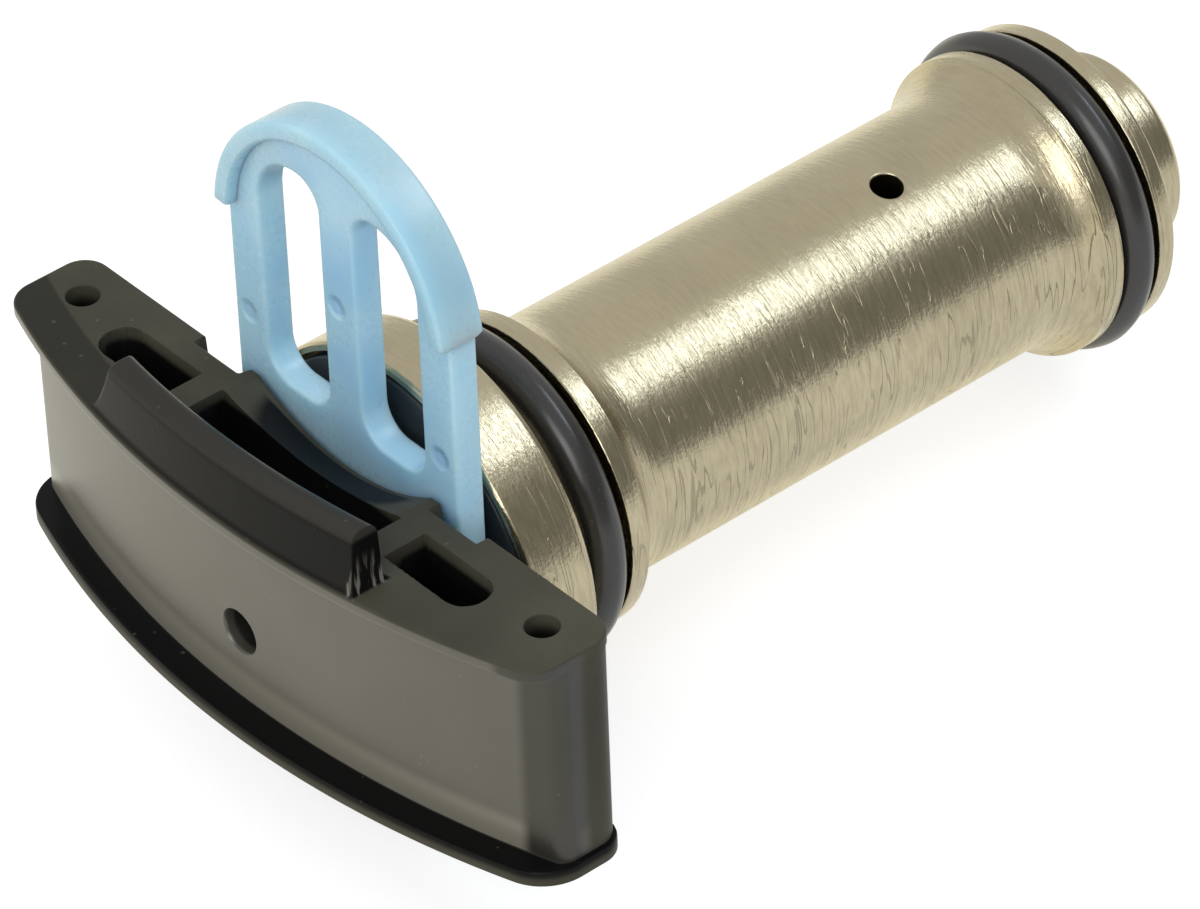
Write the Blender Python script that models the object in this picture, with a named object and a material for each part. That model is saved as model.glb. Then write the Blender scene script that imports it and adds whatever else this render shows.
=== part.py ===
# Hydraulic timing chain tensioner: a turned steel cylinder that plugs into the engine,
# a spring and oil loaded plunger, a moulded shoe for the chain and a transport clip.
#
# The cylinder lies along Y and its shoe faces -Y. The origin is the middle of the rear end face.
# Lengths are metres. Each turned piece is drawn as (radius, distance) points, front to rear.

from math import asin, cos, pi, radians, sin, sqrt

import bmesh
import bpy
from mathutils import Matrix, Vector

MM = 0.001

# Clearances
seat_gap = 0.3 * MM            # between two pieces that touch on the real tensioner
slide_gap = 0.3 * MM           # radial gap between the plunger and its bore

# Housing, outside
tube_radius = 10.0 * MM
tube_length = 37.0 * MM
flange_radius = 15.1 * MM
flange_thickness = 5.2 * MM
flange_front_chamfer = 0.25 * MM
flange_rear_chamfer = 0.5 * MM
land_chamfer = 0.25 * MM
front_groove_width = 5.6 * MM
front_land_radius = 12.1 * MM
front_land_width = 1.5 * MM
fillet_length = 3.5 * MM
seal_land_radius = 11.8 * MM
seal_land_width = 1.4 * MM
rear_groove_width = 3.4 * MM
rear_land_radius = 11.9 * MM
rear_land_width = 1.5 * MM
oil_hole_radius = 1.2 * MM
oil_hole_from_rear = 19.1 * MM  # from the housing's rear face
oil_hole_angle = radians(13)   # from straight up, towards +X

# O-rings, by section and outer radius
front_ring_section = 1.5 * MM
front_ring_radius = 13.0 * MM
front_ring_to_land = 0.5 * MM  # it lies near its groove's rear wall, clear of the flange
rear_ring_section = 1.3 * MM
rear_ring_radius = 12.55 * MM

# Washer in the flange's front recess
washer_thickness = 1.0 * MM
recess_rim = 0.7 * MM

# Plunger
plunger_radius = 7.0 * MM
plunger_wall = 1.8 * MM
plunger_to_cage = 3.6 * MM     # from its rear end to the ball cage's brim
plunger_chamfer = 0.3 * MM
plunger_end_wall = 1.8 * MM
plunger_travel = 15.5 * MM
nose_radius = 4.5 * MM
nose_length = 6.9 * MM
nose_passage_radius = 1.2 * MM

# Wire rings on the plunger
stop_ring_wire = 0.45 * MM
stop_ring_proud = 0.55 * MM
stop_ring_from_rear = 2.0 * MM
snap_ring_wire = 0.4 * MM
snap_ring_proud = 0.55 * MM
snap_ring_from_tip = 2.0 * MM

# Metering disc and volume filler inside the plunger
disc_radius = 2.6 * MM
disc_thickness = 1.3 * MM
disc_hole_radius = 0.5 * MM
filler_head_radius = 4.8 * MM
filler_head_thickness = 1.0 * MM
filler_rod_radius = 3.0 * MM
filler_to_cage = 4.6 * MM      # from the filler's rear end to the ball cage
filler_hole_radius = 0.8 * MM

# Springs
spring_wire = 0.6 * MM
spring_mean_radius = 4.2 * MM
spring_turns = 12.5
ball_spring_wire = 0.18 * MM
ball_spring_mean_radius = 1.0 * MM
ball_spring_turns = 3.5

# Check valve
chamber_step = 0.6 * MM        # how much wider the rear bore is than the spring chamber
valve_seat_thickness = 3.0 * MM
port_radius = 1.3 * MM
port_chamfer = 0.3 * MM
ball_radius = 2.0 * MM
ball_lift = 0.8 * MM
cage_radius = 3.0 * MM
cage_wall = 0.5 * MM
cage_brim_thickness = 0.8 * MM
cage_depth = 6.8 * MM
cage_hole_radius = 0.9 * MM
cage_hole_count = 3
valve_to_housing_rear = 25.5 * MM
valve_ring_section = 0.4 * MM

# Spacer sleeve and rear plug
sleeve_wall = 0.6 * MM
plug_spigot_length = 5.5 * MM
plug_ring_section = 0.55 * MM
plug_recess_radius = 5.0 * MM
plug_recess_depth = 2.0 * MM
shoulder_radius = 9.4 * MM
shoulder_thickness = 1.3 * MM
neck_radius = 6.8 * MM
neck_width = 1.0 * MM
boss_radius = 7.7 * MM
boss_length = 2.6 * MM
boss_chamfer = 0.6 * MM

# Shoe, measured from the line through its two pin holes, on the plunger's axis
shoe_standoff = 4.0 * MM       # from the flange's front to the shoe's back
shoe_back = 3.4 * MM
shoe_half_length = 28.2 * MM
shoe_back_corner = 2.0 * MM    # this one and the next three are corner radii in plan
top_plate_corner = 2.4 * MM
wall_corner = 1.5 * MM
bottom_flange_corner = 4.0 * MM
wall_inset = 0.1 * MM          # of the running face's wall, at the shoe's ends and back
running_face_front = 6.6 * MM
running_face_radius = 85.0 * MM
guide_front = 8.75 * MM
guide_front_radius = 81.0 * MM  # the bow of both guides' front edges
shoe_top = 11.63 * MM
top_plate_thickness = 1.0 * MM
shoe_bottom = 7.2 * MM
bottom_flange_thickness = 1.3 * MM
bottom_flange_reach = 0.3 * MM  # at each end, past the top plate
shoe_edge_round = 0.25 * MM
pin_hole_from_end = 3.75 * MM  # from the shoe's end to the hole's middle
pin_hole_radius = 1.22 * MM
pin_hole_wall = 3.43 * MM      # left between the hole and the pocket
face_hole_radius = 1.65 * MM
socket_depth = 6.9 * MM
pocket_inner = 12.0 * MM
pocket_back = 0.4 * MM
pocket_front = 2.9 * MM
pocket_depth = 7.0 * MM
valley_half_width = 9.4 * MM
valley_back = 0.3 * MM
valley_floor = 7.4 * MM
valley_corner = 1.2 * MM
saddle_half_width = 9.2 * MM
saddle_front_dip = 1.3 * MM
saddle_back_dip = 2.7 * MM
notch_inner = 10.2 * MM
notch_outer = 15.0 * MM
notch_width = 1.1 * MM
notch_drop = 1.6 * MM

# Upper guide lip on the shoe
lip_height = 5.0 * MM
lip_left = 14.4 * MM
lip_left_crest = 11.6 * MM
lip_right = 13.7 * MM
lip_ramp_power = 1.6           # how hollow the ramp at the lip's left end is
lip_front_lean = 0.6 * MM
lip_thickness = 2.85 * MM      # from the top plate's front edge
lip_crest_round = 0.9 * MM
lip_back_fillet = 0.8 * MM

# Transport clip, in its own XZ plane, measured from the plunger's axis
clip_side_shift = -0.35 * MM
clip_gap = 0.5 * MM            # from the shoe's back to the clip
clip_thickness = 2.3 * MM
clip_half_width = 11.65 * MM
clip_arch_height = 24.0 * MM
rim_radius = 12.05 * MM
rim_width = 1.4 * MM
rim_front = 1.0 * MM
rim_rear = 0.4 * MM
rim_rise = 1.0 * MM            # height of the rim's ends over the arch's centre
bar_width = 3.6 * MM
leg_width = 3.4 * MM
window_bottom = 11.9 * MM
clip_crown = 5.25 * MM         # left over the windows, under the top of the arch
window_inner_corner = 2.2 * MM
window_outer_corner = 4.2 * MM
fork_bottom = 4.5 * MM
fork_tip_round = 1.2 * MM
clip_travel = 21.0 * MM

# Roundness
turned_steps = 48
small_steps = 32
ring_sides = 10
wire_sides = 6
spring_steps_per_turn = 12
hole_steps = 16


def clear_scene():
    for item in list(bpy.data.objects):
        bpy.data.objects.remove(item, do_unlink=True)


def material(name, colour, roughness, metallic):
    made = bpy.data.materials.new(name)
    made.use_nodes = True
    shader = made.node_tree.nodes["Principled BSDF"]
    shader.inputs["Base Color"].default_value = (*colour, 1.0)
    shader.inputs["Roughness"].default_value = roughness
    shader.inputs["Metallic"].default_value = metallic
    made.diffuse_color = (*colour, 1.0)
    return made


def empty(name, location, parent=None):
    made = bpy.data.objects.new(name, None)
    made.empty_display_size = 5 * MM
    made.location = location
    made.parent = parent
    bpy.context.collection.objects.link(made)
    return made


def object_from(bm, name, surface=None, smooth=True):
    """Close the mesh, turn its faces outward and link it as an object."""
    bmesh.ops.remove_doubles(bm, verts=bm.verts, dist=1e-7)
    bmesh.ops.recalc_face_normals(bm, faces=bm.faces)
    mesh = bpy.data.meshes.new(name)
    bm.to_mesh(mesh)
    bm.free()
    if smooth:
        mesh.shade_smooth()
        mesh.set_sharp_from_angle(angle=radians(28))
    if surface:
        mesh.materials.append(surface)
    made = bpy.data.objects.new(name, mesh)
    bpy.context.collection.objects.link(made)
    return made


def place(made, y, parent=None, x=0.0, z=0.0):
    """Stand a piece at a world position, under a parent that is only moved, never turned."""
    made.parent = parent
    offset = parent.location if parent else Vector((0, 0, 0))
    made.location = Vector((x, y, z)) - offset
    return made


def arc(centre, radius, start, end, steps):
    """Points along an arc, both ends included."""
    angles = [start + (end - start) * i / steps for i in range(steps + 1)]
    return [(centre[0] + radius * cos(a), centre[1] + radius * sin(a)) for a in angles]


def spun(outline, steps):
    """Spin a closed outline of (radius, distance) points about the Y axis."""
    bm = bmesh.new()
    verts = [bm.verts.new((radius, y, 0)) for radius, y in outline]
    edges = [bm.edges.new((verts[i - 1], verts[i])) for i in range(len(verts))]
    bmesh.ops.spin(bm, geom=verts + edges, cent=(0, 0, 0), axis=(0, 1, 0), angle=2 * pi,
                   steps=steps, use_merge=True)
    bmesh.ops.remove_doubles(bm, verts=bm.verts, dist=1e-7)
    bmesh.ops.dissolve_degenerate(bm, edges=bm.edges, dist=1e-7)
    on_axis = [e for e in bm.edges if not e.link_faces]
    bmesh.ops.delete(bm, geom=on_axis, context="EDGES")
    return bm


def turned(name, outline, surface, steps=turned_steps):
    return object_from(spun(outline, steps), name, surface)


def ring(name, centre_radius, wire, surface, steps=turned_steps, sides=ring_sides):
    """A ring of round section, its middle at distance 0."""
    return turned(name, arc((centre_radius, 0), wire, 0, 2 * pi, sides)[:-1], surface, steps)


def point_on(axis, a, b, along):
    return {"X": (along, a, b), "Y": (a, along, b), "Z": (a, b, along)}[axis]


def prism(loops, low, high, axis):
    """Fill flat loops, holes included, and extrude them from low to high along an axis."""
    bm = bmesh.new()
    for loop in loops:
        verts = [bm.verts.new(point_on(axis, a, b, low)) for a, b in loop]
        for i in range(len(verts)):
            bm.edges.new((verts[i - 1], verts[i]))
    bmesh.ops.triangle_fill(bm, use_beauty=True, use_dissolve=False, edges=bm.edges)
    raised = bmesh.ops.extrude_face_region(bm, geom=list(bm.faces))["geom"]
    bmesh.ops.translate(bm, verts=[v for v in raised if isinstance(v, bmesh.types.BMVert)],
                        vec=point_on(axis, 0, 0, high - low))
    return bm


def skin(rows):
    """Join closed rows of points, the same number in each, and cap both ends."""
    bm = bmesh.new()
    made = [[bm.verts.new(point) for point in row] for row in rows]
    for low, high in zip(made, made[1:]):
        for k in range(len(low)):
            bm.faces.new((low[k - 1], low[k], high[k], high[k - 1]))
    bm.faces.new(made[0])
    bm.faces.new(made[-1])
    return bm


def cylinder(radius, start, end, steps=hole_steps):
    """A solid cylinder between two points."""
    start, end = Vector(start), Vector(end)
    bm = bmesh.new()
    turn = Vector((0, 0, 1)).rotation_difference(end - start).to_matrix().to_4x4()
    bmesh.ops.create_cone(bm, cap_ends=True, segments=steps, radius1=radius, radius2=radius,
                          depth=(end - start).length,
                          matrix=Matrix.Translation((start + end) / 2) @ turn)
    return bm


def join(target, name, bm, operation, smooth=False):
    """Union the mesh with the target, or cut it away, by a Boolean modifier."""
    tool = object_from(bm, name, smooth=smooth)
    tool.parent = target
    tool.hide_render = True
    tool.display_type = "WIRE"
    change = target.modifiers.new(name, "BOOLEAN")
    change.operation = operation
    change.solver = "EXACT"
    change.object = tool


def coil(name, length, mean_radius, wire, turns, surface, steps_per_turn):
    """A helical spring along +Y from distance 0, with close end turns."""
    steps = int(turns * steps_per_turn)
    rows = []
    for i in range(steps + 1):
        share = i / steps
        turn = 2 * pi * turns * share
        rise = wire + (length - 2 * wire) * (share - 0.07 * sin(2 * pi * share))
        outward = Vector((cos(turn), 0, sin(turn)))
        centre = outward * mean_radius + Vector((0, rise, 0))
        rows.append([centre + outward * wire * cos(2 * pi * k / wire_sides)
                     + Vector((0, wire * sin(2 * pi * k / wire_sides), 0))
                     for k in range(wire_sides)])
    return object_from(skin(rows), name, surface)


def fillet_profile(low_radius, high_radius, low_y, high_y, steps=5):
    """A hollow fillet that leaves the tube along a tangent and climbs to a land's edge."""
    rise = high_radius - low_radius
    run = abs(high_y - low_y)
    radius = (run * run + rise * rise) / (2 * rise)
    way = 1 if high_y > low_y else -1
    span = asin(run / radius)
    return [(low_radius + radius * (1 - cos(span * i / steps)),
             low_y + way * radius * sin(span * i / steps)) for i in range(steps + 1)]


# Places along Y, worked out from the rear end face
housing_rear = -(boss_length + neck_width + shoulder_thickness + seat_gap)
housing_length = (rear_land_width + rear_groove_width + seal_land_width + 2 * fillet_length
                  + tube_length + front_land_width + front_groove_width + flange_thickness)
housing_front = housing_rear - housing_length
shoe_back_y = housing_front - shoe_standoff
shoe_y = shoe_back_y - shoe_back
plunger_front = shoe_back_y + seat_gap
valve_y = housing_rear - valve_to_housing_rear
cage_y = valve_y - seat_gap - cage_brim_thickness
cage_front = cage_y + cage_brim_thickness - cage_depth
plunger_rear = cage_y - plunger_to_cage
plunger_length = plunger_rear - plunger_front
clip_y = shoe_back_y + clip_gap

# Sizes that follow from their neighbours
bottom_flange_half = shoe_half_length + bottom_flange_reach
pin_hole_at = shoe_half_length - pin_hole_from_end
pocket_outer = pin_hole_at - pin_hole_radius - pin_hole_wall
window_top = clip_arch_height + rim_radius - clip_crown
front_floor_radius = front_ring_radius - 2 * front_ring_section - seat_gap
rear_floor_radius = rear_ring_radius - 2 * rear_ring_section - seat_gap
guide_radius = plunger_radius + slide_gap
chamber_radius = plunger_radius + stop_ring_proud + 1.5 * slide_gap
rear_bore_radius = chamber_radius + chamber_step
valve_radius = rear_bore_radius - seat_gap
recess_radius = flange_radius - recess_rim
recess_depth = washer_thickness + seat_gap
socket_radius = nose_radius + seat_gap
plunger_bore_radius = plunger_radius - plunger_wall
stop_floor_radius = plunger_radius + stop_ring_proud - 2 * stop_ring_wire - seat_gap
snap_floor_radius = nose_radius + snap_ring_proud - 2 * snap_ring_wire - seat_gap
snap_room_radius = nose_radius + snap_ring_proud + seat_gap
stop_groove_half = stop_ring_wire + seat_gap
snap_groove_half = snap_ring_wire + seat_gap
stop_ring_y = plunger_rear - stop_ring_from_rear
snap_ring_y = plunger_front - nose_length + snap_ring_from_tip
guide_rear = stop_ring_y - stop_ring_wire - seat_gap - plunger_travel


def build_housing(steel):
    """Flange, two O-ring grooves, tube and stepped bore, turned in one piece."""
    rim = 0.0
    flange_rear = flange_thickness
    groove_rear = flange_rear + front_groove_width
    front_land_end = groove_rear + front_land_width
    tube_start = front_land_end + fillet_length
    tube_end = tube_start + tube_length
    seal_land = tube_end + fillet_length
    rear_groove = seal_land + seal_land_width
    rear_land = rear_groove + rear_groove_width
    outside = [
        (flange_radius - flange_front_chamfer, rim),
        (flange_radius, rim + flange_front_chamfer),
        (flange_radius, flange_rear - flange_rear_chamfer),
        (flange_radius - flange_rear_chamfer / 2, flange_rear),
        (front_floor_radius, flange_rear),
        (front_floor_radius, groove_rear),
        (front_land_radius - land_chamfer, groove_rear),
        (front_land_radius, groove_rear + land_chamfer),
        *reversed(fillet_profile(tube_radius, front_land_radius, tube_start, front_land_end)),
        *fillet_profile(tube_radius, seal_land_radius, tube_end, seal_land),
        (seal_land_radius, rear_groove),
        (rear_floor_radius, rear_groove),
        (rear_floor_radius, rear_land),
        (rear_land_radius, rear_land),
        (rear_land_radius, housing_length - land_chamfer),
        (rear_land_radius - land_chamfer, housing_length),
    ]
    inside = [
        (rear_bore_radius, housing_length),
        (rear_bore_radius, valve_y - seat_gap - housing_front),
        (chamber_radius, valve_y - seat_gap - housing_front),
        (chamber_radius, guide_rear - housing_front),
        (guide_radius, guide_rear - housing_front),
        (guide_radius, recess_depth),
        (recess_radius, recess_depth),
        (recess_radius, rim),
    ]
    housing = place(turned("housing", outside + inside, steel), housing_front)
    port_y = housing_length - oil_hole_from_rear
    way = Vector((sin(oil_hole_angle), 0, cos(oil_hole_angle)))
    middle = Vector((0, port_y, 0))
    hole = cylinder(oil_hole_radius, middle + way * neck_radius, middle + way * flange_radius)
    join(housing, "oil_hole_cutter", hole, "DIFFERENCE")
    return housing, housing_front + port_y, way


def build_seals(rubber, plastic):
    groove_rear = housing_front + flange_thickness + front_groove_width
    front = ring("front_o_ring", front_ring_radius - front_ring_section, front_ring_section,
                 rubber)
    place(front, groove_rear - front_ring_to_land - front_ring_section)
    rear_groove_end = housing_rear - rear_land_width
    rear = ring("rear_o_ring", rear_ring_radius - rear_ring_section, rear_ring_section, rubber)
    place(rear, rear_groove_end - rear_groove_width / 2)
    inner = guide_radius
    outer = recess_radius - seat_gap
    washer = turned("front_washer", [(inner, 0), (outer, 0), (outer, washer_thickness),
                                     (inner, washer_thickness)], plastic)
    place(washer, housing_front)


def build_plug(steel, rubber):
    """Rear plug: a grooved spigot in the bore, a shoulder, a neck and a chamfered boss."""
    groove_half = plug_ring_section + seat_gap
    groove_middle = plug_spigot_length / 2
    ring_outer = rear_bore_radius - seat_gap
    floor_radius = ring_outer - 2 * plug_ring_section - seat_gap
    spigot_radius = rear_bore_radius - seat_gap
    shoulder = plug_spigot_length + seat_gap
    neck = shoulder + shoulder_thickness
    boss = neck + neck_width
    end = boss + boss_length
    outline = [
        (0, plug_recess_depth), (plug_recess_radius, plug_recess_depth), (plug_recess_radius, 0),
        (spigot_radius - land_chamfer, 0), (spigot_radius, land_chamfer),
        (spigot_radius, groove_middle - groove_half), (floor_radius, groove_middle - groove_half),
        (floor_radius, groove_middle + groove_half), (spigot_radius, groove_middle + groove_half),
        (spigot_radius, shoulder), (shoulder_radius, shoulder),
        (shoulder_radius, neck - land_chamfer), (shoulder_radius - land_chamfer, neck),
        (neck_radius, neck), (neck_radius, boss),
        (boss_radius - land_chamfer, boss), (boss_radius, boss + land_chamfer),
        (boss_radius, end - boss_chamfer), (boss_radius - boss_chamfer, end), (0, end),
    ]
    plug_front = housing_rear - plug_spigot_length
    place(turned("rear_plug", outline, steel), plug_front)
    seal = ring("plug_seal_ring", ring_outer - plug_ring_section, plug_ring_section, rubber,
                sides=8)
    place(seal, plug_front + groove_middle)
    return plug_front


def build_valve(steel, bright, rubber, ball_group, plug_front, port_y, port_way):
    """Valve seat with its seal, ball, cage and spring, and the sleeve that holds them."""
    groove_half = valve_ring_section + seat_gap
    middle = valve_seat_thickness / 2
    floor_radius = valve_radius - 2 * valve_ring_section - seat_gap
    seat = turned("valve_seat", [
        (port_radius + port_chamfer, 0), (valve_radius, 0),
        (valve_radius, middle - groove_half), (floor_radius, middle - groove_half),
        (floor_radius, middle + groove_half), (valve_radius, middle + groove_half),
        (valve_radius, valve_seat_thickness), (port_radius, valve_seat_thickness),
        (port_radius, port_chamfer)], steel)
    place(seat, valve_y)
    seal = ring("valve_seal_ring", valve_radius - valve_ring_section, valve_ring_section,
                rubber, sides=6)
    place(seal, valve_y + middle)

    # The ball stands one seat gap off the port's edge.
    edge = port_radius + port_chamfer
    ball_y = valve_y - sqrt((ball_radius + seat_gap) ** 2 - edge ** 2)
    bm = bmesh.new()
    bmesh.ops.create_uvsphere(bm, u_segments=20, v_segments=12, radius=ball_radius,
                              matrix=Matrix.Rotation(pi / 2, 4, "X"))
    ball_group.location = (0, ball_y, 0)
    place(object_from(bm, "check_ball", bright), ball_y, ball_group)

    brim_radius = chamber_radius - 1.5 * seat_gap
    bore = cage_radius - cage_wall
    depth = cage_depth
    cage = turned("ball_cage", [
        (ball_spring_mean_radius - ball_spring_wire - cage_wall / 4, 0), (cage_radius, 0),
        (cage_radius, depth - cage_brim_thickness), (brim_radius, depth - cage_brim_thickness),
        (brim_radius, depth), (bore, depth), (bore, cage_wall),
        (ball_spring_mean_radius - ball_spring_wire - cage_wall / 4, cage_wall)],
        steel, small_steps)
    place(cage, cage_front)
    for k in range(cage_hole_count):
        turn = 2 * pi * k / cage_hole_count
        way = Vector((cos(turn), 0, sin(turn)))
        middle_hole = Vector((0, depth - cage_brim_thickness - 2.2 * cage_hole_radius, 0))
        window = cylinder(cage_hole_radius, middle_hole + way * bore / 2,
                          middle_hole + way * cage_radius * 1.5, 12)
        join(cage, f"cage_window_cutter_{k + 1}", window, "DIFFERENCE")

    spring_start = cage_front + cage_wall + seat_gap
    touch = ball_y - sqrt(ball_radius ** 2 - ball_spring_mean_radius ** 2)
    spring = coil("ball_spring", touch - seat_gap - spring_start, ball_spring_mean_radius,
                  ball_spring_wire, ball_spring_turns, bright, 10)
    place(spring, spring_start)

    sleeve_start = valve_y + valve_seat_thickness + seat_gap
    sleeve_length = plug_front - seat_gap - sleeve_start
    sleeve = turned("spacer_sleeve", [
        (valve_radius - sleeve_wall, 0), (valve_radius, 0), (valve_radius, sleeve_length),
        (valve_radius - sleeve_wall, sleeve_length)], steel)
    place(sleeve, sleeve_start)
    middle = Vector((0, port_y - sleeve_start, 0))
    port = cylinder(oil_hole_radius + seat_gap, middle + port_way * neck_radius,
                    middle + port_way * tube_radius)
    join(sleeve, "sleeve_port_cutter", port, "DIFFERENCE")


def build_plunger(steel, bright, plastic, group):
    """Hollow plunger with a nose for the shoe, its two wire rings, disc, filler and spring."""
    shoulder = nose_length
    rear = nose_length + plunger_length
    snap = snap_ring_from_tip
    stop = rear - stop_ring_from_rear
    chamber_front = shoulder + plunger_end_wall
    disc_room = chamber_front - disc_thickness - 2 * seat_gap
    outline = [
        (nose_passage_radius, 0), (nose_radius - plunger_chamfer, 0),
        (nose_radius, plunger_chamfer),
        (nose_radius, snap - snap_groove_half), (snap_floor_radius, snap - snap_groove_half),
        (snap_floor_radius, snap + snap_groove_half), (nose_radius, snap + snap_groove_half),
        (nose_radius, shoulder), (plunger_radius - plunger_chamfer, shoulder),
        (plunger_radius, shoulder + plunger_chamfer),
        (plunger_radius, stop - stop_groove_half), (stop_floor_radius, stop - stop_groove_half),
        (stop_floor_radius, stop + stop_groove_half), (plunger_radius, stop + stop_groove_half),
        (plunger_radius, rear - plunger_chamfer), (plunger_radius - plunger_chamfer, rear),
        (plunger_bore_radius, rear), (plunger_bore_radius, chamber_front),
        (disc_radius + seat_gap, chamber_front), (disc_radius + seat_gap, disc_room),
        (nose_passage_radius, disc_room),
    ]
    tip_y = plunger_front - nose_length
    place(turned("plunger", outline, steel), tip_y, group)
    stop_ring = ring("plunger_stop_ring", plunger_radius + stop_ring_proud - stop_ring_wire,
                     stop_ring_wire, bright, sides=8)
    place(stop_ring, stop_ring_y, group)
    snap_ring = ring("nose_snap_ring", nose_radius + snap_ring_proud - snap_ring_wire,
                     snap_ring_wire, bright, small_steps, 8)
    place(snap_ring, snap_ring_y, group)
    disc = turned("metering_disc", [
        (disc_hole_radius, 0), (disc_radius, 0), (disc_radius, disc_thickness),
        (disc_hole_radius, disc_thickness)], bright, small_steps)
    place(disc, tip_y + disc_room + seat_gap, group)

    head_y = tip_y + chamber_front + seat_gap
    filler_length = cage_front - filler_to_cage - head_y
    filler = turned("volume_filler", [
        (filler_hole_radius, 0), (filler_head_radius, 0),
        (filler_head_radius, filler_head_thickness), (filler_rod_radius, filler_head_thickness),
        (filler_rod_radius, filler_length - plunger_chamfer),
        (filler_rod_radius - plunger_chamfer, filler_length),
        (filler_hole_radius, filler_length)], plastic, small_steps)
    place(filler, head_y, group)

    spring_start = head_y + filler_head_thickness + seat_gap
    spring = coil("main_spring", cage_y - seat_gap - spring_start, spring_mean_radius,
                  spring_wire, spring_turns, bright, spring_steps_per_turn)
    place(spring, spring_start)


def front_curve(x, depth):
    """How far forward (-Y) a guide's bowed front reaches at x."""
    curve = guide_front_radius
    return curve - depth - sqrt(curve * curve - x * x)


def shoe_plan(depth, curve, half_length, front_corner, inset, steps=20):
    """Plan of the shoe: straight back, round corners and a bowed front, all inset."""
    inner = half_length - front_corner
    # The front corner's circle touches the bowed front from inside and the end's straight side.
    corner_y = curve - depth - sqrt((curve - front_corner) ** 2 - inner ** 2)
    lean = asin(inner / (curve - front_corner))
    back_x = half_length - shoe_back_corner
    back_y = shoe_back - shoe_back_corner
    front_r = front_corner - inset
    back_r = shoe_back_corner - inset
    return [*arc((0, curve - depth), curve - inset, -pi / 2 - lean, -pi / 2 + lean, steps),
            *arc((inner, corner_y), front_r, -pi / 2 + lean, 0, 5)[1:],
            *arc((back_x, back_y), back_r, 0, pi / 2, 5),
            *arc((-back_x, back_y), back_r, pi / 2, pi, 5),
            *arc((-inner, corner_y), front_r, pi, 3 * pi / 2 - lean, 5)[:-1]]


def shoe_body():
    """Bottom flange, running face wall and top plate as one skin of stacked plans."""
    edge = shoe_edge_round
    low = -shoe_bottom
    ledge = low + bottom_flange_thickness
    under = shoe_top - top_plate_thickness
    flange = (guide_front, guide_front_radius, bottom_flange_half, bottom_flange_corner)
    wall = (running_face_front + wall_inset, running_face_radius, shoe_half_length,
            wall_corner, wall_inset)
    plate = (guide_front, guide_front_radius, shoe_half_length, top_plate_corner)
    layers = (
        (*flange, edge, low),
        (*flange, 0, low + edge),
        (*flange, 0, ledge - wall_inset / 2),
        (*flange, wall_inset / 2, ledge),
        (*wall, ledge),
        (*wall, under),
        (*plate, 0, under),
        (*plate, 0, shoe_top - edge),
        (*plate, edge, shoe_top),
    )
    return skin([[(x, y, layer[-1]) for x, y in shoe_plan(*layer[:-1])] for layer in layers])


def lip_section(x, height):
    """Section of the guide lip at x: a leaning front, a round crest and a filleted back."""
    front = front_curve(x, guide_front)
    base = shoe_top - top_plate_thickness / 2
    lean = lip_front_lean * height / lip_height
    crest = min(lip_crest_round, height / 3)
    fillet = min(lip_back_fillet, height / 2)
    top = shoe_top + height
    back = front + lip_thickness
    outline = [
        (front + shoe_edge_round, base), (front + shoe_edge_round * 1.2, shoe_top),
        *arc((front + lean + crest, top - crest), crest, pi, pi / 2, 3),
        *arc((back - crest, top - crest), crest, pi / 2, 0, 3),
        *arc((back + fillet, shoe_top + fillet), fillet, pi, 3 * pi / 2, 3),
        (back + fillet, base),
    ]
    return [(x, y, z) for y, z in outline]


def guide_lip(steps=22, ramp_steps=6):
    """Lip from its ramped left end to its upright right end."""
    rows = []
    for i in range(ramp_steps):
        share = (i + 0.6) / ramp_steps
        x = -lip_left + (lip_left - lip_left_crest) * share
        rows.append(lip_section(x, lip_height * share ** lip_ramp_power))
    for i in range(steps + 1):
        x = -lip_left_crest + (lip_left_crest + lip_right) * i / steps
        rows.append(lip_section(x, lip_height))
    return skin(rows)


def saddle_section(y, dip, steps=12):
    """Arc that dips below the shoe's top, closed above it."""
    half = saddle_half_width
    radius = (half * half + dip * dip) / (2 * dip)
    span = asin(half / radius)
    low = arc((0, shoe_top + radius - dip), radius, -pi / 2 - span, -pi / 2 + span, steps)
    lift = shoe_top + 4 * dip
    return [(x, y, z) for x, z in [*low, (half, lift), (-half, lift)]]


def saddle_scoop():
    """Scoop over the rear ridge that deepens from the ridge's front to its back."""
    slope = (saddle_back_dip - saddle_front_dip) / (shoe_back - valley_back)
    over = 2 * seat_gap
    return skin([saddle_section(valley_back - over, saddle_front_dip - slope * over),
                 saddle_section(shoe_back + over, saddle_back_dip + slope * over)])


def pocket_outline(side):
    """Blind pocket: square at its inner end and round at its outer end."""
    r = (pocket_front + pocket_back) / 2
    middle = (pocket_back - pocket_front) / 2
    end = pocket_outer - r
    outer = arc((end, middle), r, -pi / 2, pi / 2, 8)
    return [(side * x, y) for x, y in [(pocket_inner, -pocket_front), *outer,
                                       (pocket_inner, pocket_back)]]


def valley_outline(steps=10):
    """Plan of the valley between the lip and the rear ridge, following the lip's back."""
    half = valley_half_width
    r = valley_corner
    front = [(x, front_curve(x, guide_front) + lip_thickness + seat_gap / 6)
             for x in (half * (2 * i / steps - 1) for i in range(steps + 1))]
    return [*front,
            *arc((half - r, valley_back - r), r, 0, pi / 2, 4),
            *arc((-half + r, valley_back - r), r, pi / 2, pi, 4)]


def notch_section():
    """Triangle, in Y and Z, that bevels the shoe's rear top edge."""
    start = (shoe_back - notch_width, shoe_top)
    over = 0.5
    return [(start[0] - over * notch_width, start[1] + over * notch_drop),
            (shoe_back + over * notch_width, shoe_top - (1 + over) * notch_drop),
            (shoe_back + over * notch_width, start[1] + over * notch_drop)]


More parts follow.
